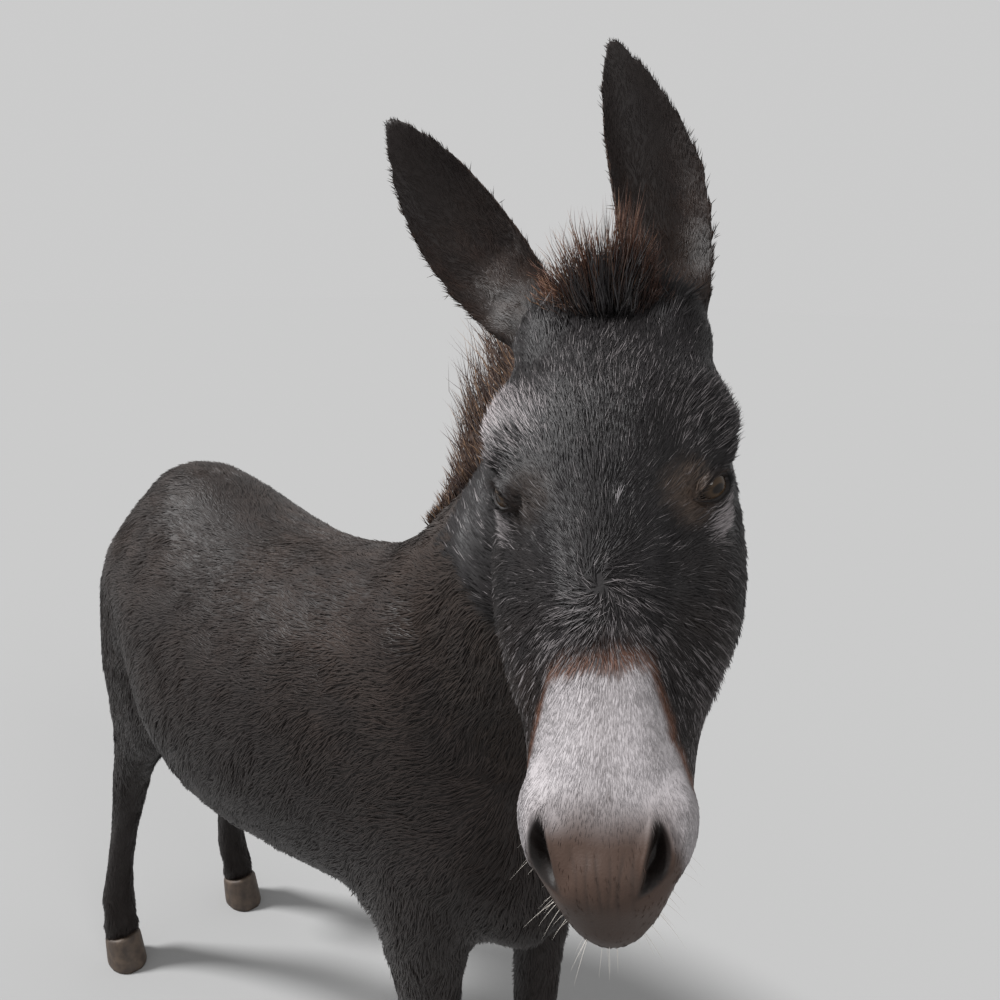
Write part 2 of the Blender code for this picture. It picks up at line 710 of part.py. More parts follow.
def stand_on_origin(objects):
    """Move everything so that the middle of the overall box, at its foot, is the origin."""
    points = np.array([v.co for made in objects for v in made.data.vertices])
    low, high = points.min(0), points.max(0)
    shift = Vector((-(low[0] + high[0]) / 2, -(low[1] + high[1]) / 2, -low[2]))
    for made in objects:
        made.data.transform(Matrix.Translation(shift))


LEG_CUTS = {
    # front and back faces, height beside the midline, lean outward, rise towards the tail
    "front": (-0.620, -0.325, 0.552, 0.72, 0.00),
    "hind": (0.130, 0.700, 0.590, 0.72, 0.36),
}

COAT_DARK = ("dark_coat", (0.030, 0.024, 0.021), 0.85)
COAT_NECK = ("neck_coat", (0.034, 0.026, 0.022), 0.85)
COAT_FACE = ("face_coat", (0.045, 0.038, 0.035), 0.80)
COAT_LEG = ("leg_coat", (0.032, 0.026, 0.023), 0.85)
EAR_SKIN = ("ear_coat", (0.040, 0.028, 0.022), 0.85)
HAIR = ("mane_hair", (0.035, 0.020, 0.014), 0.75)
HORN = ("hoof_horn", (0.190, 0.125, 0.080), 0.60)
EYE_BROWN = ("eye_brown", (0.045, 0.022, 0.012), 0.12)


if __name__ == "__main__":
    clear_scene()
    pieces = part_body()
    cut_features(pieces["head"])
    flesh = list(pieces.values())
    eyes = [eye("left"), eye("right")]
    ears = [ear("left"), ear("right")]
    hooves = []
    for side, sign in (("left", 1), ("right", -1)):
        hooves.append(hoof("hoof_front_" + side, sign * FORE_X, FORE_Y))
        hooves.append(hoof("hoof_hind_" + side, sign * HIND_X, HIND_Y))
    hair = [mane(), forelock(), tail()]
    for feature in eyes + hooves + hair[1:]:
        seat(feature, flesh)
    seat(hair[0], flesh + hair[1:], lambda: mane(PARTING))
    for side, feature in zip(("left", "right"), ears):
        seat(feature, flesh + hair, lambda side=side: ear(side, 0.001))

    for name, made in pieces.items():
        kind = {"head": COAT_FACE, "neck": COAT_NECK, "trunk": COAT_DARK}.get(name, COAT_LEG)
        colour(made, *kind)
    for group, kind in ((eyes, EYE_BROWN), (ears, EAR_SKIN), (hooves, HORN), (hair, HAIR)):
        for made in group:
            colour(made, *kind)
    everything = flesh + eyes + ears + hooves + hair
    stand_on_origin(everything)
    for made in everything:
        made.data.shade_smooth()
        made.data.set_sharp_from_angle(angle=math.radians(50))
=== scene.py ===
# %% [markdown]
# # A standing donkey
# A donkey is a smooth, muscular body under a dense, slightly shaggy coat. Hair painted on a body looks flat,
# and hair particles stay behind when a model leaves Blender, so here the hairs are small pieces of mesh.
# The frame holds the solid animal. This lesson lays one seamless skin just inside it, grows the coat on that
# skin as thousands of small tufts, and adds eyes, hooves and long hair. All lengths are in metres.

import json
import math

import bmesh
import bpy
import numpy as np
from mathutils import Euler, Matrix, Vector
from mathutils.bvhtree import BVHTree

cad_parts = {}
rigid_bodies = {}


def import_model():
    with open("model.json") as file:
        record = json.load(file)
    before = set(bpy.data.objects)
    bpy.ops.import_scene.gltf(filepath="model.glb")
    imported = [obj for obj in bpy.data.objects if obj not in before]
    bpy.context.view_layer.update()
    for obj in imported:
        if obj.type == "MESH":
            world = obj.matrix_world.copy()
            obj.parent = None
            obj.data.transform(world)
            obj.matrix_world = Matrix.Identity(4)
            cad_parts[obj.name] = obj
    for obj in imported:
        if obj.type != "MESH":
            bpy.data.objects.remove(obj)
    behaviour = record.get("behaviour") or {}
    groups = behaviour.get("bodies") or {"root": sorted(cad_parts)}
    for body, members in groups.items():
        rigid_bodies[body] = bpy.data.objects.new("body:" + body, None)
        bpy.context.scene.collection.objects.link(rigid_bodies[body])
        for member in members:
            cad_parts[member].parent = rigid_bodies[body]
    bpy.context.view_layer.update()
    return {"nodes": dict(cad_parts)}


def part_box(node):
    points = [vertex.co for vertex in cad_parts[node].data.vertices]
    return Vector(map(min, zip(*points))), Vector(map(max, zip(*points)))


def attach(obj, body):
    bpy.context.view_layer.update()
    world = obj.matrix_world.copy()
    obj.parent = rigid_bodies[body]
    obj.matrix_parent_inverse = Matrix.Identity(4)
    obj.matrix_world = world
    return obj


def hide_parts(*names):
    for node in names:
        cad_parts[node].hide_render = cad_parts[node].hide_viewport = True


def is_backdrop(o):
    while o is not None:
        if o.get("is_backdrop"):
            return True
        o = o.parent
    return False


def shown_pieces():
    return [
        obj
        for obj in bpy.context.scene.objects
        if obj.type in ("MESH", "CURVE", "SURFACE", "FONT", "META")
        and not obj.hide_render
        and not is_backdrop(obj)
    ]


for thing in list(bpy.data.objects):
    bpy.data.objects.remove(thing)
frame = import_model()
rng = np.random.default_rng(11)

# %% [markdown]
# ## Working with arrays
# A coat has far too many hairs to place one at a time with operators. NumPy arrays hold all their points
# at once: foreach_get reads a mesh into an array in one call, and foreach_set writes it back.
# These few helpers are all that the rest of the lesson needs for that.


# %% Array helpers
def read(items, attribute, width, kind=np.float32):
    """One attribute of many mesh items as an array with this many values in a row."""
    found = np.empty(len(items) * width, kind)
    items.foreach_get(attribute, found)
    return found.reshape(-1, width)


def points_of(mesh):
    return read(mesh.vertices, "co", 3).astype(float)


def normals_of(mesh):
    return read(mesh.vertex_normals, "vector", 3).astype(float)


def triangles_of(mesh):
    mesh.calc_loop_triangles()
    return read(mesh.loop_triangles, "vertices", 3, np.int32)


def mesh_from(name, points, faces):
    """A smooth-shaded object from an array of points and an array of triangles or quads."""
    mesh = bpy.data.meshes.new(name)
    faces = np.asarray(faces, np.int32)
    mesh.vertices.add(len(points))
    mesh.vertices.foreach_set("co", np.asarray(points, np.float32).ravel())
    mesh.loops.add(faces.size)
    mesh.loops.foreach_set("vertex_index", faces.ravel())
    mesh.polygons.add(len(faces))
    mesh.polygons.foreach_set("loop_start", np.arange(0, faces.size, faces.shape[1], dtype=np.int32))
    mesh.update(calc_edges=True)
    mesh.shade_smooth()
    made = bpy.data.objects.new(name, mesh)
    bpy.context.scene.collection.objects.link(made)
    return made


print("solids of", sum(len(triangles_of(solid.data)) for solid in frame["nodes"].values()), "triangles")

# %% [markdown]
# ## The head's own frame
# The head is turned and lowered, so its parts are easier to name in the head's own directions:
# x to its left, y down the face from the poll, z out of the forehead. Parenting the parts to a turned empty
# would do the same for objects, but a matrix works on whole arrays of points.

# %% Head frame
POLL = np.array([-0.0572, -0.5042, 1.4060])
HEAD_TURN, HEAD_DROP, HEAD_TILT = 49.5, 48.0, 8.5
EYE_RADIUS = 0.0205
EYES = {"left": np.array([0.0695, 0.181, -0.0225]), "right": np.array([-0.0695, 0.181, -0.0225])}
EAR_ROOTS = {"left": np.array([0.056, 0.022, -0.034]), "right": np.array([-0.056, 0.022, -0.034])}
EAR_TIPS = {"left": np.array([0.008, -0.218, 0.083]), "right": np.array([-0.196, -0.158, 0.074])}
EAR_FACES = {"left": np.array([0.30, 0.40, 0.86]), "right": np.array([-0.25, 0.45, 0.86])}


def turned(v, axis, degrees):
    a = math.radians(degrees)
    return v * math.cos(a) + np.cross(axis, v) * math.sin(a) + axis * (axis @ v) * (1 - math.cos(a))


drop = math.radians(HEAD_DROP)
down_face = np.array([0, -math.cos(drop), -math.sin(drop)])
out_face = turned(np.array([0, -math.sin(drop), math.cos(drop)]), down_face, HEAD_TILT)
left_face = turned(np.array([1.0, 0, 0]), down_face, HEAD_TILT)
UP = np.array([0, 0, 1.0])
HEAD = np.column_stack([turned(v, UP, -HEAD_TURN) for v in (left_face, down_face, out_face)])


def to_head(points):
    return (points - POLL) @ HEAD


def from_head(points):
    return POLL + np.asarray(points) @ HEAD.T


print("left eye at", from_head(EYES["left"]).round(3))

# %% [markdown]
# ## Find the crest of the neck
# A donkey's mane stands on the crest, the upper edge of the neck. The solid mane is sunk into the neck,
# and the skin has to pass below it. The crest could be drawn as a curve by hand. Here random places on both
# solids are averaged at even stations along the neck, so that the line follows the solids if they change.
# The way from the middle of the neck to the middle of the mane then says how the hair stands.


# %% Follow the crest
def unit(v):
    return v / np.maximum(np.linalg.norm(v, axis=-1, keepdims=True), 1e-9)


def surface_samples(name, amount):
    """Random places on a solid's surface."""
    mesh = frame["nodes"][name].data
    corners = points_of(mesh)[triangles_of(mesh)]
    size = np.linalg.norm(np.cross(corners[:, 1] - corners[:, 0], corners[:, 2] - corners[:, 0]), axis=1)
    pick = rng.choice(len(corners), amount, p=size / size.sum())
    return np.einsum("ij,ijk->ik", rng.dirichlet((1, 1, 1), amount), corners[pick])


def smooth_line(samples, along, levels, window):
    """The middle of the samples at each level along a direction."""
    place = samples @ along
    weight = np.exp(-(((place[None] - levels[:, None]) / window) ** 2))
    return weight @ samples / weight.sum(1, keepdims=True)


CREST = unit(np.array([-0.152, -0.338, 0.406]))
neck_samples = surface_samples("neck", 9000)
mane_samples = surface_samples("mane", 6000)
along_neck = neck_samples @ CREST
neck_levels = np.linspace(along_neck.min() + 0.03, along_neck.max() - 0.03, 14)
neck_centres = smooth_line(neck_samples, CREST, neck_levels, 0.05)


def neck_middle(points):
    """The middle of the neck at the stations of these points."""
    return np.stack([np.interp(points @ CREST, neck_levels, neck_centres[:, k]) for k in range(3)], 1)


along_mane = mane_samples @ CREST
mane_levels = np.linspace(along_mane.min() + 0.012, along_mane.max() - 0.010, 26)
mane_centres = smooth_line(mane_samples, CREST, mane_levels, 0.012)
mane_up = mane_centres - neck_middle(mane_centres)
mane_up = unit(mane_up - (mane_up @ CREST)[:, None] * CREST)
crest_line = []
for level, centre, rising in zip(mane_levels, mane_centres, mane_up):
    near = mane_samples[np.abs(along_mane - level) < 0.012]
    floor_height = np.percentile((near - centre) @ rising, 1)
    crest_line.append(centre + rising * (floor_height + 0.008))
print("crest from", crest_line[0].round(3), "to", crest_line[-1].round(3))

# %% [markdown]
# ## One skin for the whole animal
# A real hide has no seams. Joining solids with booleans leaves a crease at every border, so copies of
# the flesh solids are swollen by half a millimetre until they overlap, and a voxel remesh wraps them in one
# even surface. Small balls round off the crest, the poll and the dock of the tail, and close the eye
# openings for now, because the lids are shaped later from the full round.

# %% Gather the flesh
FLESH = ["trunk", "neck", "head", "ear_left", "ear_right"]
FLESH += ["leg_front_left", "leg_front_right", "leg_hind_left", "leg_hind_right"]
SWELL = 0.0006


def ball(centre, radii, rings=16):
    """Points and triangles of an ellipsoid."""
    mesh = bmesh.new()
    bmesh.ops.create_uvsphere(mesh, u_segments=rings * 2, v_segments=rings, radius=1)
    bmesh.ops.triangulate(mesh, faces=mesh.faces)
    points = np.array([v.co for v in mesh.verts]) * radii
    faces = np.array([[v.index for v in f.verts] for f in mesh.faces])
    mesh.free()
    return points + centre, faces


gathered = [ball(centre, (0.022,) * 3, 10) for centre in crest_line]
for name in FLESH:
    mesh = frame["nodes"][name].data
    gathered.append((points_of(mesh) + normals_of(mesh) * SWELL, triangles_of(mesh)))
for side in EYES:
    points, faces = ball(EYES[side], EYE_RADIUS + 0.0012)
    gathered.append((from_head(points), faces[:, ::-1]))
poll = from_head((0, -0.002, -0.030))
gathered.append(ball(poll, (0.036,) * 3))
dock_low, dock_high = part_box("tail")
for k in range(6):
    place = (dock_low.x + 0.020, dock_high.y - 0.110 + 0.016 * k, 1.000 - 0.0032 * k * k)
    gathered.append(ball(np.array(place), (0.019 - 0.0015 * k,) * 3, 8))
starts = np.cumsum([0] + [len(points) for points, _ in gathered])
all_points = np.vstack([points for points, _ in gathered])
all_faces = np.vstack([faces + start for (_, faces), start in zip(gathered, starts)])
skin = mesh_from("skin", all_points, all_faces)
print("gathered", len(gathered), "bodies of flesh,", len(all_faces), "triangles")


# %% Wrap them in one surface
def settle(made):
    """Replace an object's mesh by what its modifiers give."""
    depsgraph = bpy.context.evaluated_depsgraph_get()
    mesh = bpy.data.meshes.new_from_object(made.evaluated_get(depsgraph))
    old = made.data
    made.modifiers.clear()
    made.data = mesh
    bpy.data.meshes.remove(old)
    return made


def wrap(made, size):
    """One even surface round everything in an object's mesh, in faces of this size."""
    remesh = made.modifiers.new("Wrap", "REMESH")
    remesh.mode = "VOXEL"
    remesh.voxel_size = size
    settle(made)


wrap(skin, 0.0038)
print("wrapped skin", len(skin.data.vertices), "points")

# %% [markdown]
# ## Round the facets off
# The solids are faceted, and muscle isn't. Points move towards their neighbours and a little back again,
# many times, which rounds the form without shrinking it, as a plain smoothing would.
# The ears, nostrils and lips keep more of their edge.


# %% Places on the head
def step(a, b, x):
    """0 below a, 1 above b, smooth between; a may be above b."""
    t = np.clip((x - a) / (b - a), 0, 1)
    return t * t * (3 - 2 * t)


def ear_place(points, side):
    """Share of the way from root to tip, and distance from that line, in the head's frame."""
    local = to_head(points)
    root, tip = EAR_ROOTS[side], EAR_TIPS[side]
    along = tip - root
    part = (local - root) @ along / (along @ along)
    return part, np.linalg.norm(local - root - np.clip(part, 0, 1)[:, None] * along, axis=1)


def near_ear(points):
    found = np.zeros(len(points))
    for side in EAR_ROOTS:
        part, away = ear_place(points, side)
        found = np.maximum(found, step(0.02, 0.14, part) * step(0.075, 0.055, away))
    return found


def near_point(local, centre, inner, outer):
    """1 within the inner distance of a place on the head, on either side, and 0 beyond the outer one."""
    mirrored = np.abs(local * [1, 0, 0]) + local * [0, 1, 1]
    return step(outer, inner, np.linalg.norm(mirrored - np.array(centre), axis=1))


points = points_of(skin.data)
local = to_head(points)
on_head = step(-0.05, 0.03, local[:, 1]) * step(-0.36, -0.30, local[:, 2])
on_head *= step(0.20, 0.15, np.abs(local[:, 0]))
print(int((on_head > 0.5).sum()), "points on the head,", int((near_ear(points) > 0.5).sum()), "on the ears")


# %% Smooth the form
def edges_of(mesh):
    return read(mesh.edges, "vertices", 2, np.int32)


def relaxed(values, edges, factor, mask=1.0):
    """Each row moves towards the mean of its neighbours on the mesh."""
    a, b = edges.T
    count = np.maximum(np.bincount(a, minlength=len(values)) + np.bincount(b, minlength=len(values)), 1)
    mean = np.empty_like(values)
    for k in range(values.shape[1]):
        mean[:, k] = np.bincount(a, values[b, k], len(values)) + np.bincount(b, values[a, k], len(values))
    return values + (mean / count[:, None] - values) * factor * mask


def move_points(made, points):
    made.data.vertices.foreach_set("co", points.astype(np.float32).ravel())
    made.data.update()


edges = edges_of(skin.data)
mask = 1 - 0.35 * on_head
mask *= 1 - 0.35 * near_ear(points)
mask *= 1 - 0.75 * on_head * near_point(local, (0.036, 0.450, -0.020), 0.026, 0.045)
mask *= 1 - 0.60 * on_head * step(0.40, 0.44, local[:, 1])
mask = np.clip(mask, 0.03, 1)[:, None]
for k in range(34):
    points = relaxed(points, edges, 0.62, mask)
    points = relaxed(points, edges, -0.46, mask)
for k in range(3):
    points = relaxed(points, edges, 0.5, mask)
moved = np.abs(points - points_of(skin.data)).max() * 1000
print("smoothing moved the points by up to", moved.round(1), "mm")
move_points(skin, points)

# %% [markdown]
# ## Spend the faces on the head
# The broad trunk needs far fewer faces than the face and ears. A vertex group tells the Decimate modifier
# where it may take them away.

# %% Thin the body
body = skin.vertex_groups.new(name="body")
coarse = np.clip(1 - on_head - near_ear(points), 0, 1)
for level in range(1, 6):
    chosen = np.flatnonzero(np.round(coarse * 5) == level)
    body.add(chosen.tolist(), level / 5, "REPLACE")
thin = skin.modifiers.new("Thin", "DECIMATE")
thin.vertex_group = "body"
thin.vertex_group_factor = 1.0
thin.use_collapse_triangulate = True
thin.ratio = 0.21
settle(skin)
print("skin after thinning", len(skin.data.polygons), "triangles")

# %% [markdown]
# ## Know which part each point is on
# Hair differs from one part of the animal to the next. The nearest solid names the part a point belongs to,
# and a search tree finds it quickly for a hundred thousand points.

# %% Regions
REGIONS = FLESH + ["tail"]
region_points, region_faces, face_region = [], [], []
for k, name in enumerate(REGIONS):
    mesh = frame["nodes"][name].data
    begin = sum(len(points) for points in region_points)
    region_points.append(points_of(mesh))
    region_faces.append(triangles_of(mesh) + begin)
    face_region += [k] * len(region_faces[-1])
face_region = np.array(face_region)
solids = BVHTree.FromPolygons(np.vstack(region_points).tolist(), np.vstack(region_faces).tolist())


def region_at(points):
    return face_region[[solids.find_nearest(point)[2] for point in points.tolist()]]


def is_region(region, *starts):
    """True where the region's name starts with one of these words."""
    return np.isin(region, [k for k, name in enumerate(REGIONS) if name.startswith(starts)])


points = points_of(skin.data)
edges = edges_of(skin.data)
region = region_at(points)
print("skin points by region:", dict(zip(REGIONS, np.bincount(region).tolist())))

# %% [markdown]
# ## Make room for the coat
# The solids reach the tips of the hair, so the skin has to lie deeper by the depth of the coat:
# about a centimetre on the trunk, half of that on the face, and almost nothing on the nose and the feet.
# A Displace modifier could sink it too, but here the depth differs from place to place and is blended
# across the borders. The lowest part of each leg goes back to the solid, so that it fills its hoof's top.


# %% Coat depth
def soft(values, edges, rounds):
    """Values of the skin's points, blended with those of their neighbours."""
    values = np.array(values, float)
    flat = values.reshape(len(values), -1)
    for _ in range(rounds):
        flat = relaxed(flat, edges, 0.6)
    return flat.reshape(values.shape)


local = to_head(points)
height = points[:, 2]
depth = np.full(len(points), 0.0100)
depth[is_region(region, "neck")] = 0.0110
depth[is_region(region, "tail")] = 0.0060
legs = is_region(region, "leg")
depth[legs] = (0.0008 + 0.0022 * step(0.09, 0.14, height) + 0.0070 * step(0.30, 0.60, height))[legs]
head = is_region(region, "head")
face_depth = 0.0065 - 0.0050 * step(0.30, 0.40, local[:, 1]) + 0.004 * step(-0.10, -0.19, local[:, 2])
face_depth *= 1 - 0.75 * near_point(local, EYES["left"], 0.024, 0.040)
depth[head] = face_depth[head]
depth[is_region(region, "ear")] = 0.0012
depth = soft(depth, edges, 14)
points -= normals_of(skin.data) * depth[:, None]
for k in range(4):
    points = relaxed(points, edges, 0.5, (0.35 + 0.65 * (1 - near_ear(points)))[:, None])
LEG_FILLS_HOOF = 0.16
for k in np.flatnonzero(legs & (points[:, 2] < LEG_FILLS_HOOF)):
    spot, facing, _, _ = solids.find_nearest(points[k].tolist())
    share = step(LEG_FILLS_HOOF, 0.12, points[k, 2])
    points[k] += (np.array(spot) - np.array(facing) * depth[k] - points[k]) * share
move_points(skin, points)
print("coat depth in mm", (depth.min() * 1000).round(1), "to", (depth.max() * 1000).round(1))

# %% [markdown]
# ## Finer faces where the folds are
# Fine forms need small faces. A Subdivision modifier would refine the whole animal,
# so only the faces round the eyes, the nostrils and the mouth are cut.


# %% Refine the face
def refine(made, chosen):
    """Cut the edges of the chosen faces in two."""
    mesh = bmesh.new()
    mesh.from_mesh(made.data)
    mesh.faces.ensure_lookup_table()
    found = {e for k in chosen for e in mesh.faces[k].edges}
    bmesh.ops.subdivide_edges(mesh, edges=list(found), cuts=1, use_grid_fill=True)
    bmesh.ops.triangulate(mesh, faces=mesh.faces)
    mesh.to_mesh(made.data)
    mesh.free()
    made.data.shade_smooth()


NOSTRIL_AT = (0.0365, 0.446, -0.011)
for reach in (0.044, 0.030):
    local = to_head(points_of(skin.data)[triangles_of(skin.data)].mean(1))
    fine = near_point(local, EYES["left"], reach - 0.002, reach)
    fine = np.maximum(fine, near_point(local, NOSTRIL_AT, reach - 0.010, reach - 0.008))
    if reach > 0.035:
        muzzle = step(0.08, 0.07, np.abs(local[:, 0])) * step(-0.16, -0.15, local[:, 2])
        fine = np.maximum(fine, muzzle * step(0.425, 0.43, local[:, 1]))
    refine(skin, np.flatnonzero(fine > 0.5))
print("skin with finer face", len(skin.data.polygons), "triangles")

# %% [markdown]
# ## Eyelids
# An eyelid slides on the eyeball, so it is part of a ball a little bigger than the eye. Inside an almond
# outline the skin sinks behind the eye. Along that outline it swells to a rim, with a crease above and
# a soft bag below. Each skin point near an eye is moved along the line from the middle of the ball.


# %% Eyelids
LID_LONG, LID_TALL = 0.0158, 0.0072
GAZES = {"left": (0.66, 0.42, 0.60), "right": (-0.84, 0.38, 0.34)}


def eye_axes(side):
    """Gaze, corner-to-corner and upward directions of an eye, in the head's frame."""
    sign = 1 if side == "left" else -1
    gaze = unit(np.array(GAZES[side]))
    across = np.array([-sign * 0.62, 0.70, 0.35])
    across = unit(across - (across @ gaze) * gaze)
    upward = np.cross(across, gaze)
    upward = upward if upward[2] > 0 else -upward
    return gaze, across, upward


def lid_height(u, w):
    """Height of the opening at u along the eye. The upper lid arches more than the lower, and earlier."""
    arch = np.clip(1 - (u / LID_LONG) ** 2, 0.0, 1) ** 0.7
    lean = np.where(w > 0, 1.0 - 0.22 * u / LID_LONG, 0.72 + 0.16 * u / LID_LONG)
    return LID_TALL * lean * arch


def almond(u, w):
    """0 at the middle of the opening, 1 on the rim, more outside."""
    return np.maximum(np.abs(w) / np.maximum(lid_height(u, w), 0.0002), np.abs(u) / LID_LONG)


def fold(away, place, width):
    """A ridge across a distance: 1 at its place, and fading over its width."""
    return np.exp(-(((away - place) / width) ** 2))


local = to_head(points_of(skin.data))
for side, centre in EYES.items():
    gaze, across, upward = eye_axes(side)
    arm = local - centre
    far = np.linalg.norm(arm, axis=1)
    heading = arm / far[:, None]
    u = heading @ across * EYE_RADIUS
    w = heading @ upward * EYE_RADIUS
    inside = almond(u, w)
    edge = np.hypot(np.maximum(np.abs(w) - lid_height(u, w), 0), np.maximum(np.abs(u) - LID_LONG, 0))
    rim = EYE_RADIUS + 0.0016 + 0.0013 * fold(edge, 0.0012, 0.0014)
    crease = 0.0016 * fold(edge, 0.0062, 0.0013) * step(0.0, 0.004, w)
    bag = 0.0012 * fold(edge, 0.0060, 0.0016) * step(0.0, -0.004, w)
    lid = np.maximum(rim - crease - bag, EYE_RADIUS + 0.0004)
    hollow = EYE_RADIUS - 0.0045
    near = step(0.034, 0.026, far) * step(0.10, 0.35, heading @ gaze)
    hold = step(0.014, 0.004, edge) * near
    wanted = np.where(inside < 1, hollow + (lid - hollow) * step(0.90, 1.0, inside), lid)
    shaped = far + (wanted - far) * np.where(inside < 1, near, hold)
    local = centre + heading * shaped[:, None]
points = from_head(local)
move_points(skin, points)
print("lid openings", round(LID_LONG * 2000, 1), "by", round(LID_TALL * 2000, 1), "mm at most")

# %% [markdown]
# ## Nostrils
# A donkey's nostrils are long commas that lean in towards the lips. The solid head has a plain hollow on
# each side. It is filled first with a gentle surface, fitted by least squares to the skin round it,
# and the comma is then pressed into that.


# %% Fill the plain hollows
def nostril_hollow(local, sign):
    """1 on the wall of the hollow behind a nostril."""
    turn = np.array(Euler((0, math.radians(30 * sign), math.radians(12 * sign))).to_matrix())
    arm = (local - np.array(NOSTRIL_AT) * (sign, 1, 1)) @ turn
    return np.linalg.norm(arm / (0.0090, 0.0205, 0.0180), axis=1)


normal = unit(normals_of(skin.data) @ HEAD)
for sign in (1, -1):
    hollow = nostril_hollow(local, sign)
    around = (hollow > 1.35) & (hollow < 1.9) & (normal[:, 2] > 0)
    facing = unit(normal[around].mean(0))
    sideways = unit(np.cross((0, 1, 0), facing))
    middle = local[around].mean(0)
    u, w, h = ((local - middle) @ np.column_stack([np.cross(facing, sideways), sideways, facing])).T * 100
    terms = np.column_stack([np.ones(len(u)), u, w, u * u, u * w, w * w])
    curve = np.linalg.lstsq(terms[around], h[around], rcond=None)[0]
    close_by = step(1.60, 1.30, hollow) * (np.linalg.norm(local - middle, axis=1) < 0.05)
    local = local + ((terms @ curve - h) / 100 * close_by)[:, None] * facing
edges = edges_of(skin.data)
filled = np.maximum(*(step(1.75, 1.45, nostril_hollow(local, sign)) for sign in (1, -1)))
for k in range(12):
    local = relaxed(local, edges, 0.5, filled[:, None])
points = from_head(local)
move_points(skin, points)
print("filled", int((filled > 0.5).sum()), "points of the two hollows")

# %% [markdown]
# ## Lips and wrinkles
# A line parts the lips, with a low swelling on each side of it, and fine grooves run down
# between the nostrils. They are small enough to be moves along the skin's own normal. Smooth random values,
# from a lattice of hashed cells, break the grooves up, and later the colours and the turn of the hairs too.


# %% Noise
def noise(points, size, seed):
    """Smooth random values from 0 to 1 that change over about this size, in metres."""
    p = points / size
    cell = np.floor(p).astype(np.int64)
    f = p - cell
    f = f * f * (3 - 2 * f)
    total = np.zeros(len(p))
    for corner in range(8):
        d = np.array([corner & 1, corner >> 1 & 1, corner >> 2 & 1])
        key = (cell + d) @ np.array([73856093, 19349663, 83492791]) + seed * 961748927
        key = (key ^ (key >> 13)) * 1274126177 % 2147483647
        weight = np.prod(np.where(d, f, 1 - f), axis=1)
        total += weight * (key % 10007) / 10007
    return total


sample = noise(points, 0.01, 1)
print("noise between", sample.min().round(3), "and", sample.max().round(3))


# %% Nostrils, lips and wrinkles
def nostril_place(local, sign):
    """Distance from the middle of a nostril, 1 on its edge: a comma that leans inward towards the lips."""
    arm = local - np.array([0.0320 if sign > 0 else -0.0390, 0.4525, -0.015])
    lean = math.radians(15)
    u = arm[:, 1] * math.cos(lean) - sign * arm[:, 0] * math.sin(lean)
    w = sign * arm[:, 0] * math.cos(lean) + arm[:, 1] * math.sin(lean)
    w = w - 0.0035 + 11.0 * u**2
    half = 0.0068 * (1 - 0.45 * step(0.002, 0.026, u))
    comma = np.sqrt(((u - 0.001) / 0.0225) ** 2 + (w / half) ** 2)
    return np.where(np.linalg.norm(arm, axis=1) < 0.045, comma, 9.0)


def wrinkles(local):
    """Fine upright grooves between the nostrils."""
    band = step(0.446, 0.460, local[:, 1]) * step(0.494, 0.480, local[:, 1])
    band *= step(-0.080, -0.066, local[:, 2])
    depth = np.zeros(len(local))
    for k, x in enumerate((-0.019, -0.0105, -0.003, 0.004, 0.0115, 0.020)):
        wave = 0.0012 * np.sin(local[:, 1] / 0.009 + k * 2.1) - 7.0 * x * (local[:, 1] - 0.462)
        strong = (0.55, 0.9, 1.0, 0.7, 1.0, 0.6)[k] * step(0.0, 0.35, noise(local + k, 0.011, 14))
        depth += strong * np.exp(-(((local[:, 0] - x - wave) / 0.0010) ** 2))
    return band * np.clip(depth, 0, 1)


normal = unit(normals_of(skin.data) @ HEAD)
move = np.zeros(len(local))
for sign in (1, -1):
    comma = nostril_place(local, sign)
    open_side = step(-0.3, 0.0, normal[:, 2])
    move -= open_side * 0.0125 * step(1.10, 0.30, comma)
    move += open_side * 0.0011 * fold(comma, 1.30, 0.22) * step(0.470, 0.455, local[:, 1])
lip_line = (local[:, 2] + 0.087) * math.cos(0.14) + (local[:, 1] - 0.452) * math.sin(0.14)
at_mouth = step(0.405, 0.425, local[:, 1]) * step(-0.20, -0.14, local[:, 2]) * (np.abs(local[:, 0]) < 0.08)
move -= at_mouth * 0.0022 * fold(lip_line, 0, 0.0016)
move += at_mouth * 0.0010 * fold(np.abs(lip_line), 0.0042, 0.0022)
move -= 0.0004 * wrinkles(local)
points = points + (move[:, None] * normal) @ HEAD.T
move_points(skin, points)
print("lids, nostrils and lips shaped, deepest", (move.min() * 1000).round(1), "mm")

# %% [markdown]
# ## Colours of the coat
# The donkey is nearly black, browner on the neck and ears, with grey tips on the face.
# Its muzzle is white with a rusty edge, and the nose and lips are grey-brown skin under very short hair.
# An image texture could hold all this, but colours worked out from named places on the head can be asked
# for at any point, so the skin and every tuft read the same ones.


# %% Palette
def srgb(text):
    """A hex colour as linear red, green and blue."""
    c = np.array([int(text[k : k + 2], 16) / 255 for k in (1, 3, 5)])
    return np.where(c <= 0.04045, c / 12.92, ((c + 0.055) / 1.055) ** 2.4)


BLACK_BROWN = srgb("#1d1817")
# Brown of the body's hair tips, and the colour of the painted sheen on the back.
BODY_TIP_AND_SHEEN = srgb("#40342e")
NECK_BROWN = srgb("#2d231d")
FACE_DARK = srgb("#1d1a1b")
FACE_LIGHT = srgb("#8d8788")
CHEEK_BROWN = srgb("#3a302b")
EAR_DARK = srgb("#201917")
# Rust of the ears, also used as the painted rim light along their edges.
EAR_RUST_AND_RIM_LIGHT = srgb("#6d4a33")
MUZZLE_WHITE = srgb("#aca7a9")
MUZZLE_EDGE = srgb("#7d5644")
NOSE = srgb("#43332b")
# Colour of the lips, also used for the painted shade in the grooves of the nose.
LIP_SKIN_AND_SHADE = srgb("#3c302a")
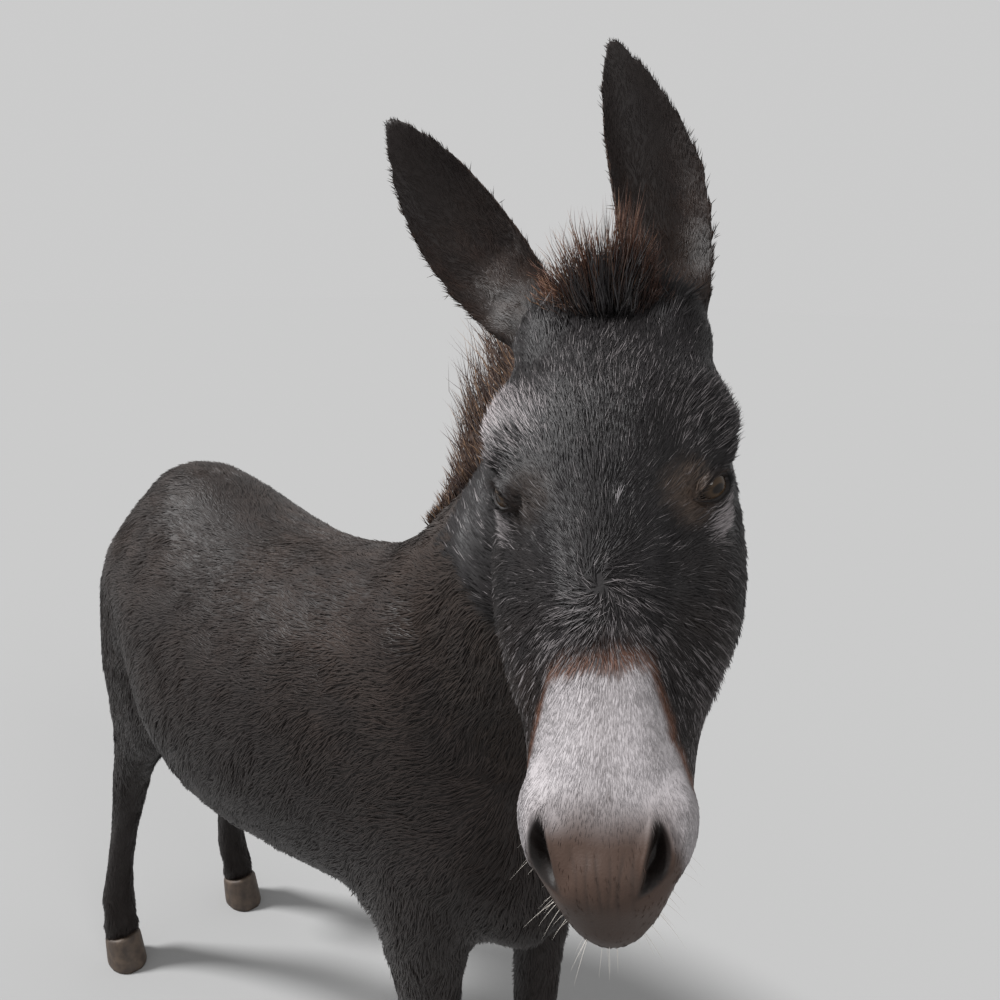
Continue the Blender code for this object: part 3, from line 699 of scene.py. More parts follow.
# Colour of the dark lid skin, also used for the painted shade inside the nostrils.
LID_SKIN_AND_SHADE = srgb("#17110f")
EYE_RING = srgb("#65554a")


def mix(a, b, share):
    return a + (b - a) * np.clip(share, 0, 1)[:, None]


print("skin black", BLACK_BROWN.round(4), "muzzle white", MUZZLE_WHITE.round(3))


# %% Places with a colour of their own
def white_edge(local):
    """How far a point lies below the edge of the white muzzle, in metres down the face."""
    x = local[:, 0]
    ragged = 0.012 * (noise(local, 0.010, 5) - 0.5) + 0.016 * (noise(local, 0.035, 6) - 0.5)
    side = np.minimum(2.4 * np.maximum(x - 0.028, 0) + 3.2 * np.maximum(-x - 0.038, 0), 0.085)
    under = 0.30 * np.maximum(-0.060 - local[:, 2], 0)
    return local[:, 1] - (0.328 + side + under) + ragged


def nose_share(local):
    """1 on the bare-looking nose between the nostrils and on the lips."""
    y = local[:, 1] + 0.010 * (noise(local, 0.018, 9) - 0.5)
    aside = np.abs(local[:, 0])
    between_nostrils = step(0.408, 0.450, y) * step(0.058, 0.040, aside - 0.5 * np.maximum(y - 0.445, 0))
    return np.maximum(between_nostrils, step(0.450, 0.474, y - 0.10 * aside))


def brow_share(local):
    return near_point(local, (0.080, 0.135, 0.006), 0.018, 0.052)


def tear_share(local):
    """1 on the patch below the inner corner of each eye, where the tears run."""
    return near_point(local, (0.078, 0.205, -0.035), 0.008, 0.026)


def light_share(local):
    """Share of pale hairs among the dark ones of the face."""
    x, y, z = local.T
    patch = step(0.062, 0.015, np.hypot(x + 0.002, (y - 0.312) * 0.85))
    # The pale hairs at the crown are a painted sheen on the top of the forehead.
    crown = step(0.080, 0.02, np.hypot(x, (y - 0.100) * 1.3)) * step(-0.06, -0.01, z)
    # Pale hairs on both brows, more on the right one: partly grey hairs, partly a painted highlight where
    # light falls on that brow.
    brow = np.where(x < 0, 0.60, 0.26) * brow_share(local)
    jaw = step(-0.02, -0.06, z) * step(0.24, 0.33, y) * np.where(x > 0, 2.0, 1.0)
    return 0.035 + 0.42 * patch + 0.20 * crown + brow + 0.14 * jaw + 0.85 * tear_share(local)


points = points_of(skin.data)
local = to_head(points)
print("white muzzle:", int((white_edge(local) > 0).sum()), "points")

# %% [markdown]
# ## Root and tip of every hair
# A hair is darker at its root than at its tip, so each place has two colours. They start from the colour of
# the body, and each part of the animal is then mixed over it, which leaves soft borders.


# %% Body and ears
def body_colours(points, region):
    root = np.tile(BLACK_BROWN * 0.70, (len(points), 1))
    # Tips grow paler towards the top of the body in noisy streaks: a painted sheen on the back, over a slight
    # brown in every tip.
    up = step(0.70, 1.05, points[:, 2])
    sheen_streak = noise(points * [1.6, 0.8, 1.0], 0.030, 1) * noise(points, 0.11, 3)
    tip = mix(np.tile(BLACK_BROWN, (len(points), 1)), BODY_TIP_AND_SHEEN, 0.15 + 1.2 * up * sheen_streak)
    neck = is_region(region, "neck").astype(float)
    return root, mix(tip, NECK_BROWN, neck * (0.25 + 0.6 * noise(points, 0.03, 4)))


def ear_colours(root, tip, points, region, turned_out, side):
    """Dark ears, blackest near the root, with rusty rims that are partly painted rim light, and a little rust
    inside.
    """
    ear = is_region(region, "ear_" + side).astype(float)
    part, _ = ear_place(points, side)
    rim = step(0.62, 0.20, np.abs(turned_out)) * step(0.03, 0.14, part)
    inner = step(0.35, 0.70, turned_out) * step(0.75, 0.25, part) * step(0.02, 0.10, part)
    low_ear = ear * step(0.42, 0.14, part)
    root = mix(mix(root, EAR_DARK * 0.8, ear), EAR_DARK * 0.4, low_ear)
    tip = mix(mix(tip, EAR_DARK * 1.15, ear), EAR_DARK * 0.5, low_ear)
    # The rims are partly rusty hair and partly painted rim light.
    rust = 0.40 * rim + 0.16 * inner * noise(to_head(points), 0.012, 12)
    return root, mix(tip, EAR_RUST_AND_RIM_LIGHT, ear * rust)


region = region_at(points)
print("body tips up to", body_colours(points, region)[1].max().round(3))


# %% Face and muzzle
def face_colours(root, tip, local, head):
    """Dark face, brown cheeks, a brown ring in front of each eye, and a small pale star between the eyes."""
    root = mix(root, FACE_DARK * 0.70, head)
    tip = mix(tip, FACE_DARK, head)
    cheek = head * step(0.0, -0.05, local[:, 2]) * step(0.16, 0.30, local[:, 1])
    tip = mix(tip, CHEEK_BROWN, 0.55 * cheek * noise(local, 0.02, 10))
    ring = near_point(local, (0.054, 0.197, -0.012), 0.012, 0.032) * head * np.where(local[:, 0] < 0, 0.3, 1)
    ring *= 0.45 + 0.9 * noise(local, 0.0035, 15)
    root = mix(root, EYE_RING * 0.40, 0.5 * ring)
    tip = mix(tip, EYE_RING, 0.65 * ring)
    star = head * step(1.0, 0.5, np.hypot((local[:, 0] - 0.008) / 0.0022, (local[:, 1] - 0.212) / 0.008))
    return root, mix(tip, MUZZLE_WHITE, 0.75 * star)


def muzzle_colours(root, tip, local, head):
    """White muzzle with a rusty edge and a smoky middle."""
    middle = np.abs(local[:, 0] + 0.002)
    below = white_edge(local)
    rust = head * fold(below, -0.003, 0.008) * step(-0.075, -0.05, local[:, 2])
    white = head * step(-0.004, 0.010, below)
    root = mix(mix(root, MUZZLE_EDGE * 0.5, 0.6 * rust), MUZZLE_WHITE * 0.84, white)
    tip = mix(mix(tip, MUZZLE_EDGE, 0.65 * rust), MUZZLE_WHITE, white)
    smoky = 0.16 * noise(local, 0.010, 7) + 0.16 * step(0.026, 0.0, middle)
    speck = step(0.86, 0.93, noise(local, 0.0040, 8)) * step(0.022, 0.0, np.abs(local[:, 0] + 0.004))
    return root, mix(tip, NOSE * 0.8, white * np.clip(smoky + 0.6 * speck, 0, 1))


def nose_colours(root, tip, local, head):
    """Grey-brown nose with painted shade in its grooves and nostrils, and brown lips."""
    nose = head * nose_share(local)
    # The grooves between the nostrils are darkened: painted shade in the creases.
    groove_shade = head * wrinkles(local) * 0.6
    root = mix(mix(root, NOSE * 0.80, nose), LIP_SKIN_AND_SHADE * 0.45, groove_shade)
    tip = mix(mix(tip, NOSE * 1.05, nose), LIP_SKIN_AND_SHADE * 0.5, groove_shade)
    for sign in (1, -1):
        # The inside of each nostril is painted nearly black: painted shade in the recess.
        nostril_shade = head * step(1.30, 0.85, nostril_place(local, sign))
        root = mix(root, LID_SKIN_AND_SHADE * 0.8, nostril_shade)
        tip = mix(tip, LID_SKIN_AND_SHADE, nostril_shade)
    mouth_line = step(0.012, 0.003, np.abs(local[:, 2] + 0.087)) * step(0.42, 0.44, local[:, 1])
    lips = head * np.maximum(step(0.476, 0.494, local[:, 1]), mouth_line)
    return mix(root, LIP_SKIN_AND_SHADE * 0.8, 0.8 * lips), mix(tip, LIP_SKIN_AND_SHADE, 0.8 * lips)


def coat_colours(points, region, normal):
    """Root and tip colours of the hair at these points."""
    local = to_head(points)
    head = is_region(region, "head").astype(float)
    root, tip = body_colours(points, region)
    for side, face in EAR_FACES.items():
        root, tip = ear_colours(root, tip, points, region, normal @ HEAD @ unit(face), side)
    for part in (face_colours, muzzle_colours, nose_colours):
        root, tip = part(root, tip, local, head)
    return root, tip


root_colour, tip_colour = coat_colours(points, region, normals_of(skin.data))
print("coat colours on", len(points), "skin points")

# %% [markdown]
# ## The lie of the coat
# Hair grows from the head backwards along the trunk, down the legs and up the ears, and on the face it
# fans out from a whorl below the eyes. Combing by hand in a sculpt mode is the usual way. Here each skin
# point gets a direction, a length in metres, a lift off the skin in degrees and a number of hairs
# per square metre. Smoothing these fields over the mesh joins the parts without a step.



# %% Hair of the body, the legs and the ears
def trunk_hair(points):
    height = points[:, 2]
    lie = np.tile([0.0, 1.0, -0.35], (len(points), 1))
    lie[:, 2] -= 0.9 * step(1.00, 0.70, height)
    lie[:, 2] += 0.9 * step(0.62, 0.54, height)
    return lie, 0.021 + 0.008 * step(0.66, 0.56, height), 13.0, 76000.0


def leg_hair(points):
    height = points[:, 2]
    length = 0.011 + 0.011 * step(0.25, 0.62, height) + 0.022 * step(0.12, 0.07, height)
    many = 115000 - 40000 * step(0.30, 0.60, height) + 90000 * step(0.12, 0.08, height)
    return [0.0, 0.12, -1.0], length, 11 + 22 * step(0.13, 0.07, height), many


def ear_hair(points, turned_out, side):
    along = EAR_TIPS[side] - EAR_ROOTS[side]
    part, _ = ear_place(points, side)
    outward = to_head(points) - (EAR_ROOTS[side] + part[:, None] * along)
    rim = step(0.62, 0.20, np.abs(turned_out))
    inner = step(0.35, 0.70, turned_out) * step(0.85, 0.35, part)
    direction = unit(along) + (0.35 + 0.35 * rim)[:, None] * unit(outward)
    length = 0.0068 + 0.0012 * rim + 0.003 * inner - 0.0022 * step(0.8, 1.0, part)
    return direction @ HEAD.T, length, 7 + 3 * rim + 2 * inner, 300000


print("leg hair down to", leg_hair(points)[1].min().round(3), "m")


# %% Hair of the face
WHORL = np.array([-0.004, 0.272])


def face_lie(local, below, nose):
    """A fan out of the whorl that turns into straight lines down the cheeks, the jaw and the nose."""
    still = np.zeros(len(local))
    fan = np.column_stack([local[:, 0] - WHORL[0], 0.8 * (local[:, 1] - WHORL[1]), still])
    spiral = 0.9 * step(0.045, 0.0, np.linalg.norm(fan, axis=1))[:, None]
    fan = unit(fan) * np.cos(spiral) + unit(fan)[:, [1, 0, 2]] * [-1, 1, 0] * np.sin(spiral)
    side = step(-0.02, -0.09, local[:, 2])[:, None]
    down_nose = np.column_stack([local[:, 0] * 9, still + 1, still])
    fan = fan * (1 - side) + side * np.array([0, 0.35, -1.0])
    fan = fan * (1 - below) + below * np.array([0, -0.9, -0.4])
    return (fan * (1 - nose) + nose * down_nose) @ HEAD.T


def face_hair(local):
    x, y, z = local.T
    below, nose = step(-0.12, -0.19, z), step(0.31, 0.37, y)
    brow = near_point(local, (0.080, 0.130, 0.004), 0.02, 0.05)
    crown = step(0.065, 0.005, y) * step(0.085, 0.055, np.abs(x))
    cheek = step(-0.02, -0.06, z) * step(0.10, 0.16, y) * step(0.36, 0.30, y)
    length = 0.0125 - 0.0055 * step(0.315, 0.36, y) - 0.0020 * step(0.40, 0.44, y)
    length = length + 0.012 * below * step(0.36, 0.30, y) + 0.007 * brow + 0.020 * crown + 0.006 * cheek
    length = length * (1 - 0.35 * near_point(local, EYES["left"] + [0.013, 0.008, 0.009], 0.012, 0.022))
    lift = 14 + 16 * brow - 9 * nose + 10 * below + 12 * crown + 7 * cheek
    many = (400000 + 200000 * step(0.32, 0.36, y) - 190000 * below) * (1 - 0.96 * nose_share(local))
    return face_lie(local, below[:, None], nose[:, None]), length, lift, many


print("face hair up to", face_hair(local)[1][region == REGIONS.index("head")].max().round(3), "m")


# %% Hair fields on the skin
def hair_fields(points, region, normal):
    """Direction, length, lift and number of hairs for each point."""
    count = len(points)
    fields = [np.zeros((count, 3)), np.zeros(count), np.zeros(count), np.zeros(count)]

    def grow(start, values):
        here = is_region(region, start)
        for field, value in zip(fields, values):
            field[here] = np.broadcast_to(value, field.shape)[here]

    # Every part starts with the hair of the trunk.
    grow("", trunk_hair(points))
    grow("neck", ([0.35, 0.75, -0.75], 0.026, 19, 90000))
    grow("leg", leg_hair(points))
    for side, face in EAR_FACES.items():
        grow("ear_" + side, ear_hair(points, normal @ HEAD @ unit(face), side))
    grow("head", face_hair(to_head(points)))
    fields[3][is_region(region, "tail")] = 60000
    return fields


lie, length, lift, many = hair_fields(points, region, normals_of(skin.data))
edges = edges_of(skin.data)
lie = unit(soft(unit(lie), edges, 16))
length, lift, many = soft(np.column_stack([length, lift, many]), edges, 10).T
print("hair length", (length.min() * 1000).round(1), "to", (length.max() * 1000).round(1), "mm")

# %% [markdown]
# ## Bare skin
# No hair grows inside the lids and the nostrils. The lids themselves are dark, almost hairless skin,
# and their colour is mixed into the roots and tips round each eye.

# %% Keep the lids and nostrils bare
bare = np.zeros(len(points))
lid_skin = np.zeros(len(points))
local = to_head(points)
for side, centre in EYES.items():
    gaze, across, upward = eye_axes(side)
    arm = local - centre
    heading = unit(arm)
    inside = almond(heading @ across * EYE_RADIUS, heading @ upward * EYE_RADIUS)
    near = step(0.030, 0.026, np.linalg.norm(arm, axis=1)) * (heading @ gaze > 0.2)
    darkness = 0.35 if side == "right" else 1.0
    bare = np.maximum(bare, near * step(1.22, 1.10, inside))
    lid_skin = np.maximum(lid_skin, near * step(1.55, 1.25, inside) * darkness)
for sign in (1, -1):
    bare = np.maximum(bare, step(1.20, 1.00, nostril_place(local, sign)))
many *= 1 - bare
root_colour = mix(root_colour, LID_SKIN_AND_SHADE, lid_skin)
tip_colour = mix(tip_colour, LID_SKIN_AND_SHADE, lid_skin)
print("bare points:", int((bare > 0.5).sum()), "and dark lid points:", int((lid_skin > 0.3).sum()))

# %% [markdown]
# ## An unwrap for the hairs to read
# For its colours to be baked into pictures, every tuft needs a place on one.
# Unwrapping each tuft by itself would take hours. A lighter copy of the skin is unwrapped instead,
# and each tuft takes a tiny patch at the place where it grows.

# %% Unwrap a light copy of the skin
light = bpy.data.objects.new("skin_map", skin.data.copy())
bpy.context.scene.collection.objects.link(light)
thin = light.modifiers.new("Thin", "DECIMATE")
thin.ratio = 0.06
settle(light)
bpy.context.view_layer.objects.active = light
light.select_set(True)
bpy.ops.object.mode_set(mode="EDIT")
bpy.ops.mesh.select_all(action="SELECT")
bpy.ops.uv.smart_project(angle_limit=1.2, island_margin=0.004)
bpy.ops.object.mode_set(mode="OBJECT")
light_points = points_of(light.data)
light_faces = triangles_of(light.data)
corner = read(light.data.loop_triangles, "loops", 3, np.int32)
light_uv = read(light.data.uv_layers.active.data, "uv", 2)[corner]
light_tree = BVHTree.FromPolygons(light_points.tolist(), light_faces.tolist())
bpy.data.objects.remove(light)
print("map of", len(light_faces), "triangles")


# %% Find a place on the map
def map_place(points):
    """Where points of the skin lie on its unwrap."""
    found = [light_tree.find_nearest(p) for p in points.tolist()]
    face = np.array([f[2] for f in found])
    spot = np.array([f[0] for f in found])
    a, b, c = (light_points[light_faces[face, k]] for k in range(3))
    u, v, w = b - a, c - a, spot - a
    uu, uv, vv = (u * u).sum(1), (u * v).sum(1), (v * v).sum(1)
    wu, wv = (w * u).sum(1), (w * v).sum(1)
    det = np.maximum(uu * vv - uv * uv, 1e-18)
    s, t = (vv * wu - uv * wv) / det, (uu * wv - uv * wu) / det
    share = np.clip(np.column_stack([1 - s - t, s, t]), 0, 1)
    share /= share.sum(1, keepdims=True)
    return np.einsum("ij,ijk->ik", share, light_uv[face])


print("the left eye's tufts lie on the map at", map_place(from_head(EYES["left"])[None])[0].round(3))

# %% [markdown]
# ## Tufts
# On a live animal each tuft is a few hairs that cling together. Here it is a thin closed blade
# of four triangles: a root in the skin, two edges at its bend and a tip. It leaves the skin at an angle and
# bends over to lie along the body. The long hair later needs more bends, so it has a sliver with more stops.
# Custom normals shade the short blades like the body below them, because so small a form would glitter.


# %% Paint a mesh and chart it
PATCH = 0.003


def paint(made, colours):
    """The colour of each point, in an attribute that the materials read."""
    rgba = np.ones((len(made.data.vertices), 4), np.float32)
    rgba[:, :3] = np.clip(colours, 0, 1).reshape(-1, 3)
    layer = made.data.color_attributes.new("coat", "FLOAT_COLOR", "POINT")
    layer.data.foreach_set("color", rgba.ravel())


def chart(made, uv, corners, faces):
    """A small patch of the map for each tuft, with its corners in shares of the patch."""
    spot = uv[:, None, :] + PATCH * np.asarray(corners)[None]
    layer = made.data.uv_layers.new(name="OFBake")
    layer.data.foreach_set("uv", spot.reshape(-1, 2)[faces.ravel()].astype(np.float32).ravel())


print("patch of", PATCH, "of the map for each tuft")


# %% Build slivers and blades
def slivers(name, path, across, outward, half, colours, uv):
    """Closed slivers as one mesh. path is (tufts, stops, 3), half (tufts, stops), colours (root, tip)."""
    n, stops = path.shape[:2]
    inner = range(1, stops - 1)
    points = [path[:, 0]]
    for k in inner:
        wide = half[:, k, None]
        points += [path[:, k] - across * wide, path[:, k] + across * wide, path[:, k] + outward * wide * 0.8]
    points = np.stack(points + [path[:, -1]], 1)
    count = points.shape[1]
    faces = [(0, 2, 1), (0, 3, 2), (0, 1, 3)]
    for a in range(1, count - 4, 3):
        for i, j in ((0, 1), (1, 2), (2, 0)):
            faces += [(a + i, a + j, a + 3 + j), (a + i, a + 3 + j, a + 3 + i)]
    a = count - 4
    faces += [(a, a + 1, count - 1), (a + 1, a + 2, count - 1), (a + 2, a, count - 1)]
    faces = (np.array(faces)[None] + (np.arange(n) * count)[:, None, None]).reshape(-1, 3)
    made = mesh_from(name, points.reshape(-1, 3), faces)
    level = np.array([0.0] + [k / (stops - 1) for k in inner for _ in range(3)] + [1.0])
    paint(made, colours[0][:, None, :] + (colours[1] - colours[0])[:, None, :] * level[None, :, None])
    side = np.array([0.0] + [x for _ in inner for x in (-0.5, 0.5, 0.1)] + [0.0])
    chart(made, uv, np.stack([side, level - 0.5], 1), faces)
    return made


def blades(name, path, across, outward, half, colours, uv):
    """Bent blades of four triangles each, shaded like the body below them."""
    n = len(path)
    wide = across * half[:, None]
    points = np.stack([path[:, 0], path[:, 1] - wide, path[:, 1] + wide, path[:, 2]], 1)
    faces = np.array([(0, 2, 1), (1, 2, 3), (0, 1, 3), (0, 3, 2)])
    faces = (faces[None] + (np.arange(n) * 4)[:, None, None]).reshape(-1, 3)
    made = mesh_from(name, points.reshape(-1, 3), faces)
    along = unit(path[:, 2] - path[:, 0])
    sides = [outward - 0.2 * along, outward - 0.55 * across, outward + 0.55 * across, outward + 0.35 * along]
    shading = unit(np.stack(sides, 1)).reshape(-1, 3)
    made.data.normals_split_custom_set_from_vertices(shading.astype(np.float32))
    middle = colours[0] + (colours[1] - colours[0]) * 0.6
    paint(made, np.stack([colours[0], middle, middle, colours[1]], 1))
    chart(made, uv, [(0, -0.5), (-0.5, 0), (0.5, 0), (0, 0.5)], faces)
    return made


def tufts(name, root, normal, along, length, width, lift, bend, colours, uv):
    """Tufts that rise from the skin at their lift, in radians, and bend over to lie along it."""
    across = unit(np.cross(along, normal))
    rise, run = np.sin(lift)[:, None], np.cos(lift)[:, None]
    path = [root - normal * 0.0008]
    for t in (0.42, 1.0):
        reach = along * (run * t + 0.4 * bend * t * t) + normal * rise * (t - bend * t * t)
        path.append(root + length[:, None] * reach)
    return blades(name, np.stack(path, 1), across, normal, 0.5 * width, colours, uv)


print("a tuft bends once; a lock of five stops has", 3 + 6 * 2 + 3, "triangles")

# %% [markdown]
# ## Scatter the coat
# Each face of the skin gets hairs in proportion to its area and to the number that grow there. The particle
# system and the Distribute Points node do the same, but their points would lose the fields worked out above.
# The chance draw has a fixed seed, so the coat is the same every time.

# %% Scatter the coat
faces = triangles_of(skin.data)
points = points_of(skin.data)
normals = normals_of(skin.data)
corners = points[faces]
area = 0.5 * np.linalg.norm(np.cross(corners[:, 1] - corners[:, 0], corners[:, 2] - corners[:, 0]), axis=1)
share = 1.0
expected = area * many[faces].mean(1) * share
count = rng.poisson(expected)
chosen = np.repeat(np.arange(len(faces)), count)
rng.shuffle(chosen)
a, b = rng.random(len(chosen)), rng.random(len(chosen))
a, b = np.where(a + b > 1, 1 - a, a), np.where(a + b > 1, 1 - b, b)
weights = np.stack([1 - a - b, a, b], 1)


def spread(values):
    """Values of skin points at the tuft roots."""
    return np.einsum("ij,ij...->i...", weights, values[faces[chosen]])


roots = spread(points)
root_region = region[faces[chosen, 0]]
print(len(roots), "tufts;", {name: int(is_region(root_region, name).sum()) for name in REGIONS})

# %% [markdown]
# ## Comb the coat
# A coat that lies perfectly even looks like plush. Real hairs gather in clumps, and the clumps share a turn
# and a lift. Smooth noise gives that sharing, and a little chance per tuft breaks it up.
# At the whorl the hair is messy.

# %% Turn, lift and width of each tuft
grown_normal = unit(spread(normals))
grown_lie = spread(lie)
grown_lie = unit(grown_lie - (grown_lie * grown_normal).sum(1, keepdims=True) * grown_normal)
local = to_head(roots)
on_face = is_region(root_region, "head")
on_ear = is_region(root_region, "ear")
on_leg = is_region(root_region, "leg")
on_nose = on_face & (local[:, 1] > 0.34)
clump = np.where(on_face, 0.009, np.where(on_ear, 0.005, 0.022))
swirl = noise(roots / clump[:, None], 1.0, 21) - 0.5
waves = noise(roots / (clump[:, None] * 3.2), 1.0, 23) - 0.5
turn = swirl * np.where(on_face, 0.55, 0.9) + waves * np.where(on_face, 0.3, 0.9)
messy = on_face * step(0.035, 0.0, np.linalg.norm(local[:, :2] - WHORL, axis=1))
turn = (turn + rng.normal(0, 1, len(roots)) * (0.14 + 0.45 * messy)) * np.where(on_nose, 0.6, 1.0)
turn = turn[:, None]
grown_lie = grown_lie * np.cos(turn) + np.cross(grown_normal, grown_lie) * np.sin(turn)
rough = np.where(on_ear, 0.6, 1.3)
grown_lift = spread(lift) * (1 - 0.5 * rough + rough * noise(roots / clump[:, None], 0.7, 22))
grown_lift += rng.normal(0, 2.5, len(roots))
grown_lift = np.radians(np.clip(grown_lift, 3, 60))
grown_length = spread(length) * rng.uniform(0.72, 1.12, len(roots))
width = np.where(on_face, 0.00068, 0.0016)
width = np.where(on_nose, 0.00046, width)
width = np.where(on_ear, 0.00058, width)
width = np.where(on_leg, 0.0010 + 0.0006 * step(0.25, 0.60, roots[:, 2]), width)
width = width * rng.uniform(0.75, 1.2, len(roots))
print("tuft width", (width.min() * 1000).round(2), "to", (width.max() * 1000).round(2), "mm")

# %% [markdown]
# ## Pale hairs
# The grey of the face comes from single pale hairs among dark ones, not from an even grey. They are thinner
# than the dark tufts and sit closest at the whorl, on the brows and below the eyes. The extra and brighter
# pale hairs on the right brow are a painted highlight, and those at the crown a painted sheen.

# %% Colour each tuft
root_rgb, tip_rgb = coat_colours(roots, root_region, grown_normal)
lid_share = spread(lid_skin)
root_rgb, tip_rgb = mix(root_rgb, LID_SKIN_AND_SHADE, lid_share), mix(tip_rgb, LID_SKIN_AND_SHADE, lid_share)
tip_rgb = tip_rgb * rng.uniform(0.78, 1.22, (len(roots), 1))
dark_face = on_face & (white_edge(local) < -0.002) & (lid_share < 0.3)
pale = dark_face & (rng.random(len(roots)) < light_share(local))
tip_rgb[pale] = FACE_LIGHT * rng.uniform(0.35, 1.05, (pale.sum(), 1))
# The right brow's pale hairs are made brighter as a painted highlight; the left tear patch is made brighter
# for its own paler colour.
brow_highlight_and_tear = np.maximum(brow_share(local) * (local[:, 0] < 0), tear_share(local) * (local[:, 0] > 0))
tip_rgb[pale] *= 1 + 0.8 * brow_highlight_and_tear[pale][:, None]
root_rgb[pale] = FACE_LIGHT * 0.22
width[pale] *= 0.45
grown_length[pale] *= 1.05
print("pale hairs:", int(pale.sum()))

# %% [markdown]
# ## Grow the coat
# One mesh of all the tufts would be slow to draw and to bake, so the coat is split
# where the animal's own parts meet.

# %% Grow the coat
patch_place = map_place(roots)
left = (roots @ [1, 0, 0]) > 0.0588
fore = roots[:, 1] < 0.12
trunk = is_region(root_region, "trunk", "tail")
upper_face = on_face & (local[:, 1] <= 0.33)
cheeks = upper_face & (local[:, 2] <= -0.05)
groups = {
    "coat_trunk_fore_left": trunk & left & fore,
    "coat_trunk_fore_right": trunk & ~left & fore,
    "coat_trunk_hind_left": trunk & left & ~fore,
    "coat_trunk_hind_right": trunk & ~left & ~fore,
    "coat_neck": is_region(root_region, "neck"),
    "coat_muzzle": on_face & (local[:, 1] > 0.33),
    "coat_forehead": upper_face & (local[:, 2] > -0.05),
    "coat_cheek_left": cheeks & (local[:, 0] > 0),
    "coat_cheek_right": cheeks & (local[:, 0] <= 0),
}
for part in FLESH[3:]:
    groups["coat_" + part] = is_region(root_region, part)
coat = []
for name, here in groups.items():
    colours = (root_rgb[here], tip_rgb[here])
    shape = (grown_length[here], width[here], grown_lift[here], 0.45)
    made = tufts(name, roots[here], grown_normal[here], grown_lie[here], *shape, colours, patch_place[here])
    coat.append(made)
    print(name, len(made.data.polygons), "triangles")

# %% [markdown]
# ## Locks of long hair
# The mane stands up along the crest, the forelock fans out between the ears, and the tail hangs as
# a long switch. Blender's hair curves could draw them, but they would have to be made meshes in the end.
# Long hair keeps the outline of the solids: each lock starts in the skin and ends near the place where
# it would leave the solid, which a ray from outside finds.


# %% Helpers for long hair
def solid_tree(name):
    mesh = frame["nodes"][name].data
    return BVHTree.FromPolygons(points_of(mesh).tolist(), triangles_of(mesh).tolist())


def reach_in(tree, start, direction, longest):
    """How far each lock can go before it leaves the solid, looking back from outside."""
    found = np.zeros(len(start))
    for k, (p, d) in enumerate(zip(start.tolist(), direction.tolist())):
        p, d = Vector(p), Vector(d)
        hit = tree.ray_cast(p + d * longest, -d, longest)
        found[k] = longest - hit[3] if hit[0] is not None else 0
    return found


def skin_samples(inside, amount):
    """Random places on the faces of the skin whose middle passes the test."""
    middle = points[faces].mean(1)
    chosen = np.flatnonzero(inside(middle))
    pick = rng.choice(chosen, amount, p=area[chosen] / area[chosen].sum())
    s, t = rng.random(amount), rng.random(amount)
    s, t = np.where(s + t > 1, 1 - s, s), np.where(s + t > 1, 1 - t, t)
    c = points[faces[pick]]
    normal = unit(normals[faces[pick]].mean(1))
    return c[:, 0] + (c[:, 1] - c[:, 0]) * s[:, None] + (c[:, 2] - c[:, 0]) * t[:, None], normal


def within(tree, distance):
    """A test for places inside a solid, or this near it."""

    def test(middle):
        spot, facing, _, away = zip(*(tree.find_nearest(p) for p in middle.tolist()))
        behind = ((middle - np.array(spot)) * np.array(facing)).sum(1) < 0
        return (np.array(away) < distance) | behind

    return test


def locks(name, root, heading, length, width, colours, stops, curl, seed):
    """Long tapering locks that waver a little on the way."""
    n = len(root)
    t = np.linspace(0, 1, stops)
    path = root[:, None, :] + (heading * length[:, None])[:, None, :] * t[None, :, None]
    for k in range(1, stops):
        wave = np.stack([noise(root + k * 0.004, 0.012, seed + j) - 0.5 for j in range(3)], 1)
        path[:, k] += wave * curl * (length * t[k] ** 1.3)[:, None]
    across = unit(np.cross(heading, rng.normal(size=(n, 3))))
    outward = unit(np.cross(across, heading))
    half = 0.5 * width[:, None] * np.clip(1.15 - t**2, 0, 1)
    half[:, [0, -1]] = 0
    return slivers(name, path, across, outward, half, colours, map_place(root))


LOCK_SHARE = 1.0
# The golden colour of the long hair is painted rim light on its tips.
HAIR_CORE, HAIR_TIP, HAIR_GOLD_RIM_LIGHT = srgb("#1f1613"), srgb("#5c3a2c"), srgb("#9a7858")
mane_tree = solid_tree("mane")
print("crest inside the mane solid:", int(within(mane_tree, 0.005)(np.array(crest_line)).sum()), "places")

# %% [markdown]
# ## Mane
# A donkey's mane is short and stiff and stands upright. It is dark, with a few golden tips that are painted
# rim light, and it grows shorter towards the withers.

# %% Mane
root, normal = skin_samples(within(mane_tree, 0.005), int(7000 * LOCK_SHARE))
heading = root - neck_middle(root)
heading = unit(heading - (heading @ CREST)[:, None] * CREST)
heading = unit(heading + 0.10 * CREST + rng.normal(0, 0.15, (len(root), 3)))
length = reach_in(mane_tree, root, heading, 0.24)
rising = np.stack([np.interp(root @ CREST, mane_levels, mane_up[:, k]) for k in range(3)], 1)
keep = (length > 0.002) & ((heading * rising).sum(1) > 0.6)
root, heading, length = root[keep], heading[keep], np.maximum(length[keep], 0.020)
# A few random tips turn golden: painted rim light.
rim_glow = rng.random(len(root)) ** 5 * 0.75
tips = mix(np.tile(HAIR_TIP * 0.30, (len(root), 1)), HAIR_GOLD_RIM_LIGHT, rim_glow)
width = rng.uniform(0.0011, 0.0021, len(root))
core = np.tile(HAIR_CORE * 0.8, (len(root), 1))
low_end = 0.45 + 0.55 * step(0.0, 0.11, root @ CREST - mane_levels[0])
grown = 0.010 + length * low_end * rng.uniform(0.85, 1.60, len(root))
mane = locks("mane_hair", root, heading, grown, width, (core, tips), 5, 0.30, 31)
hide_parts("mane")
print("mane", len(root), "locks")

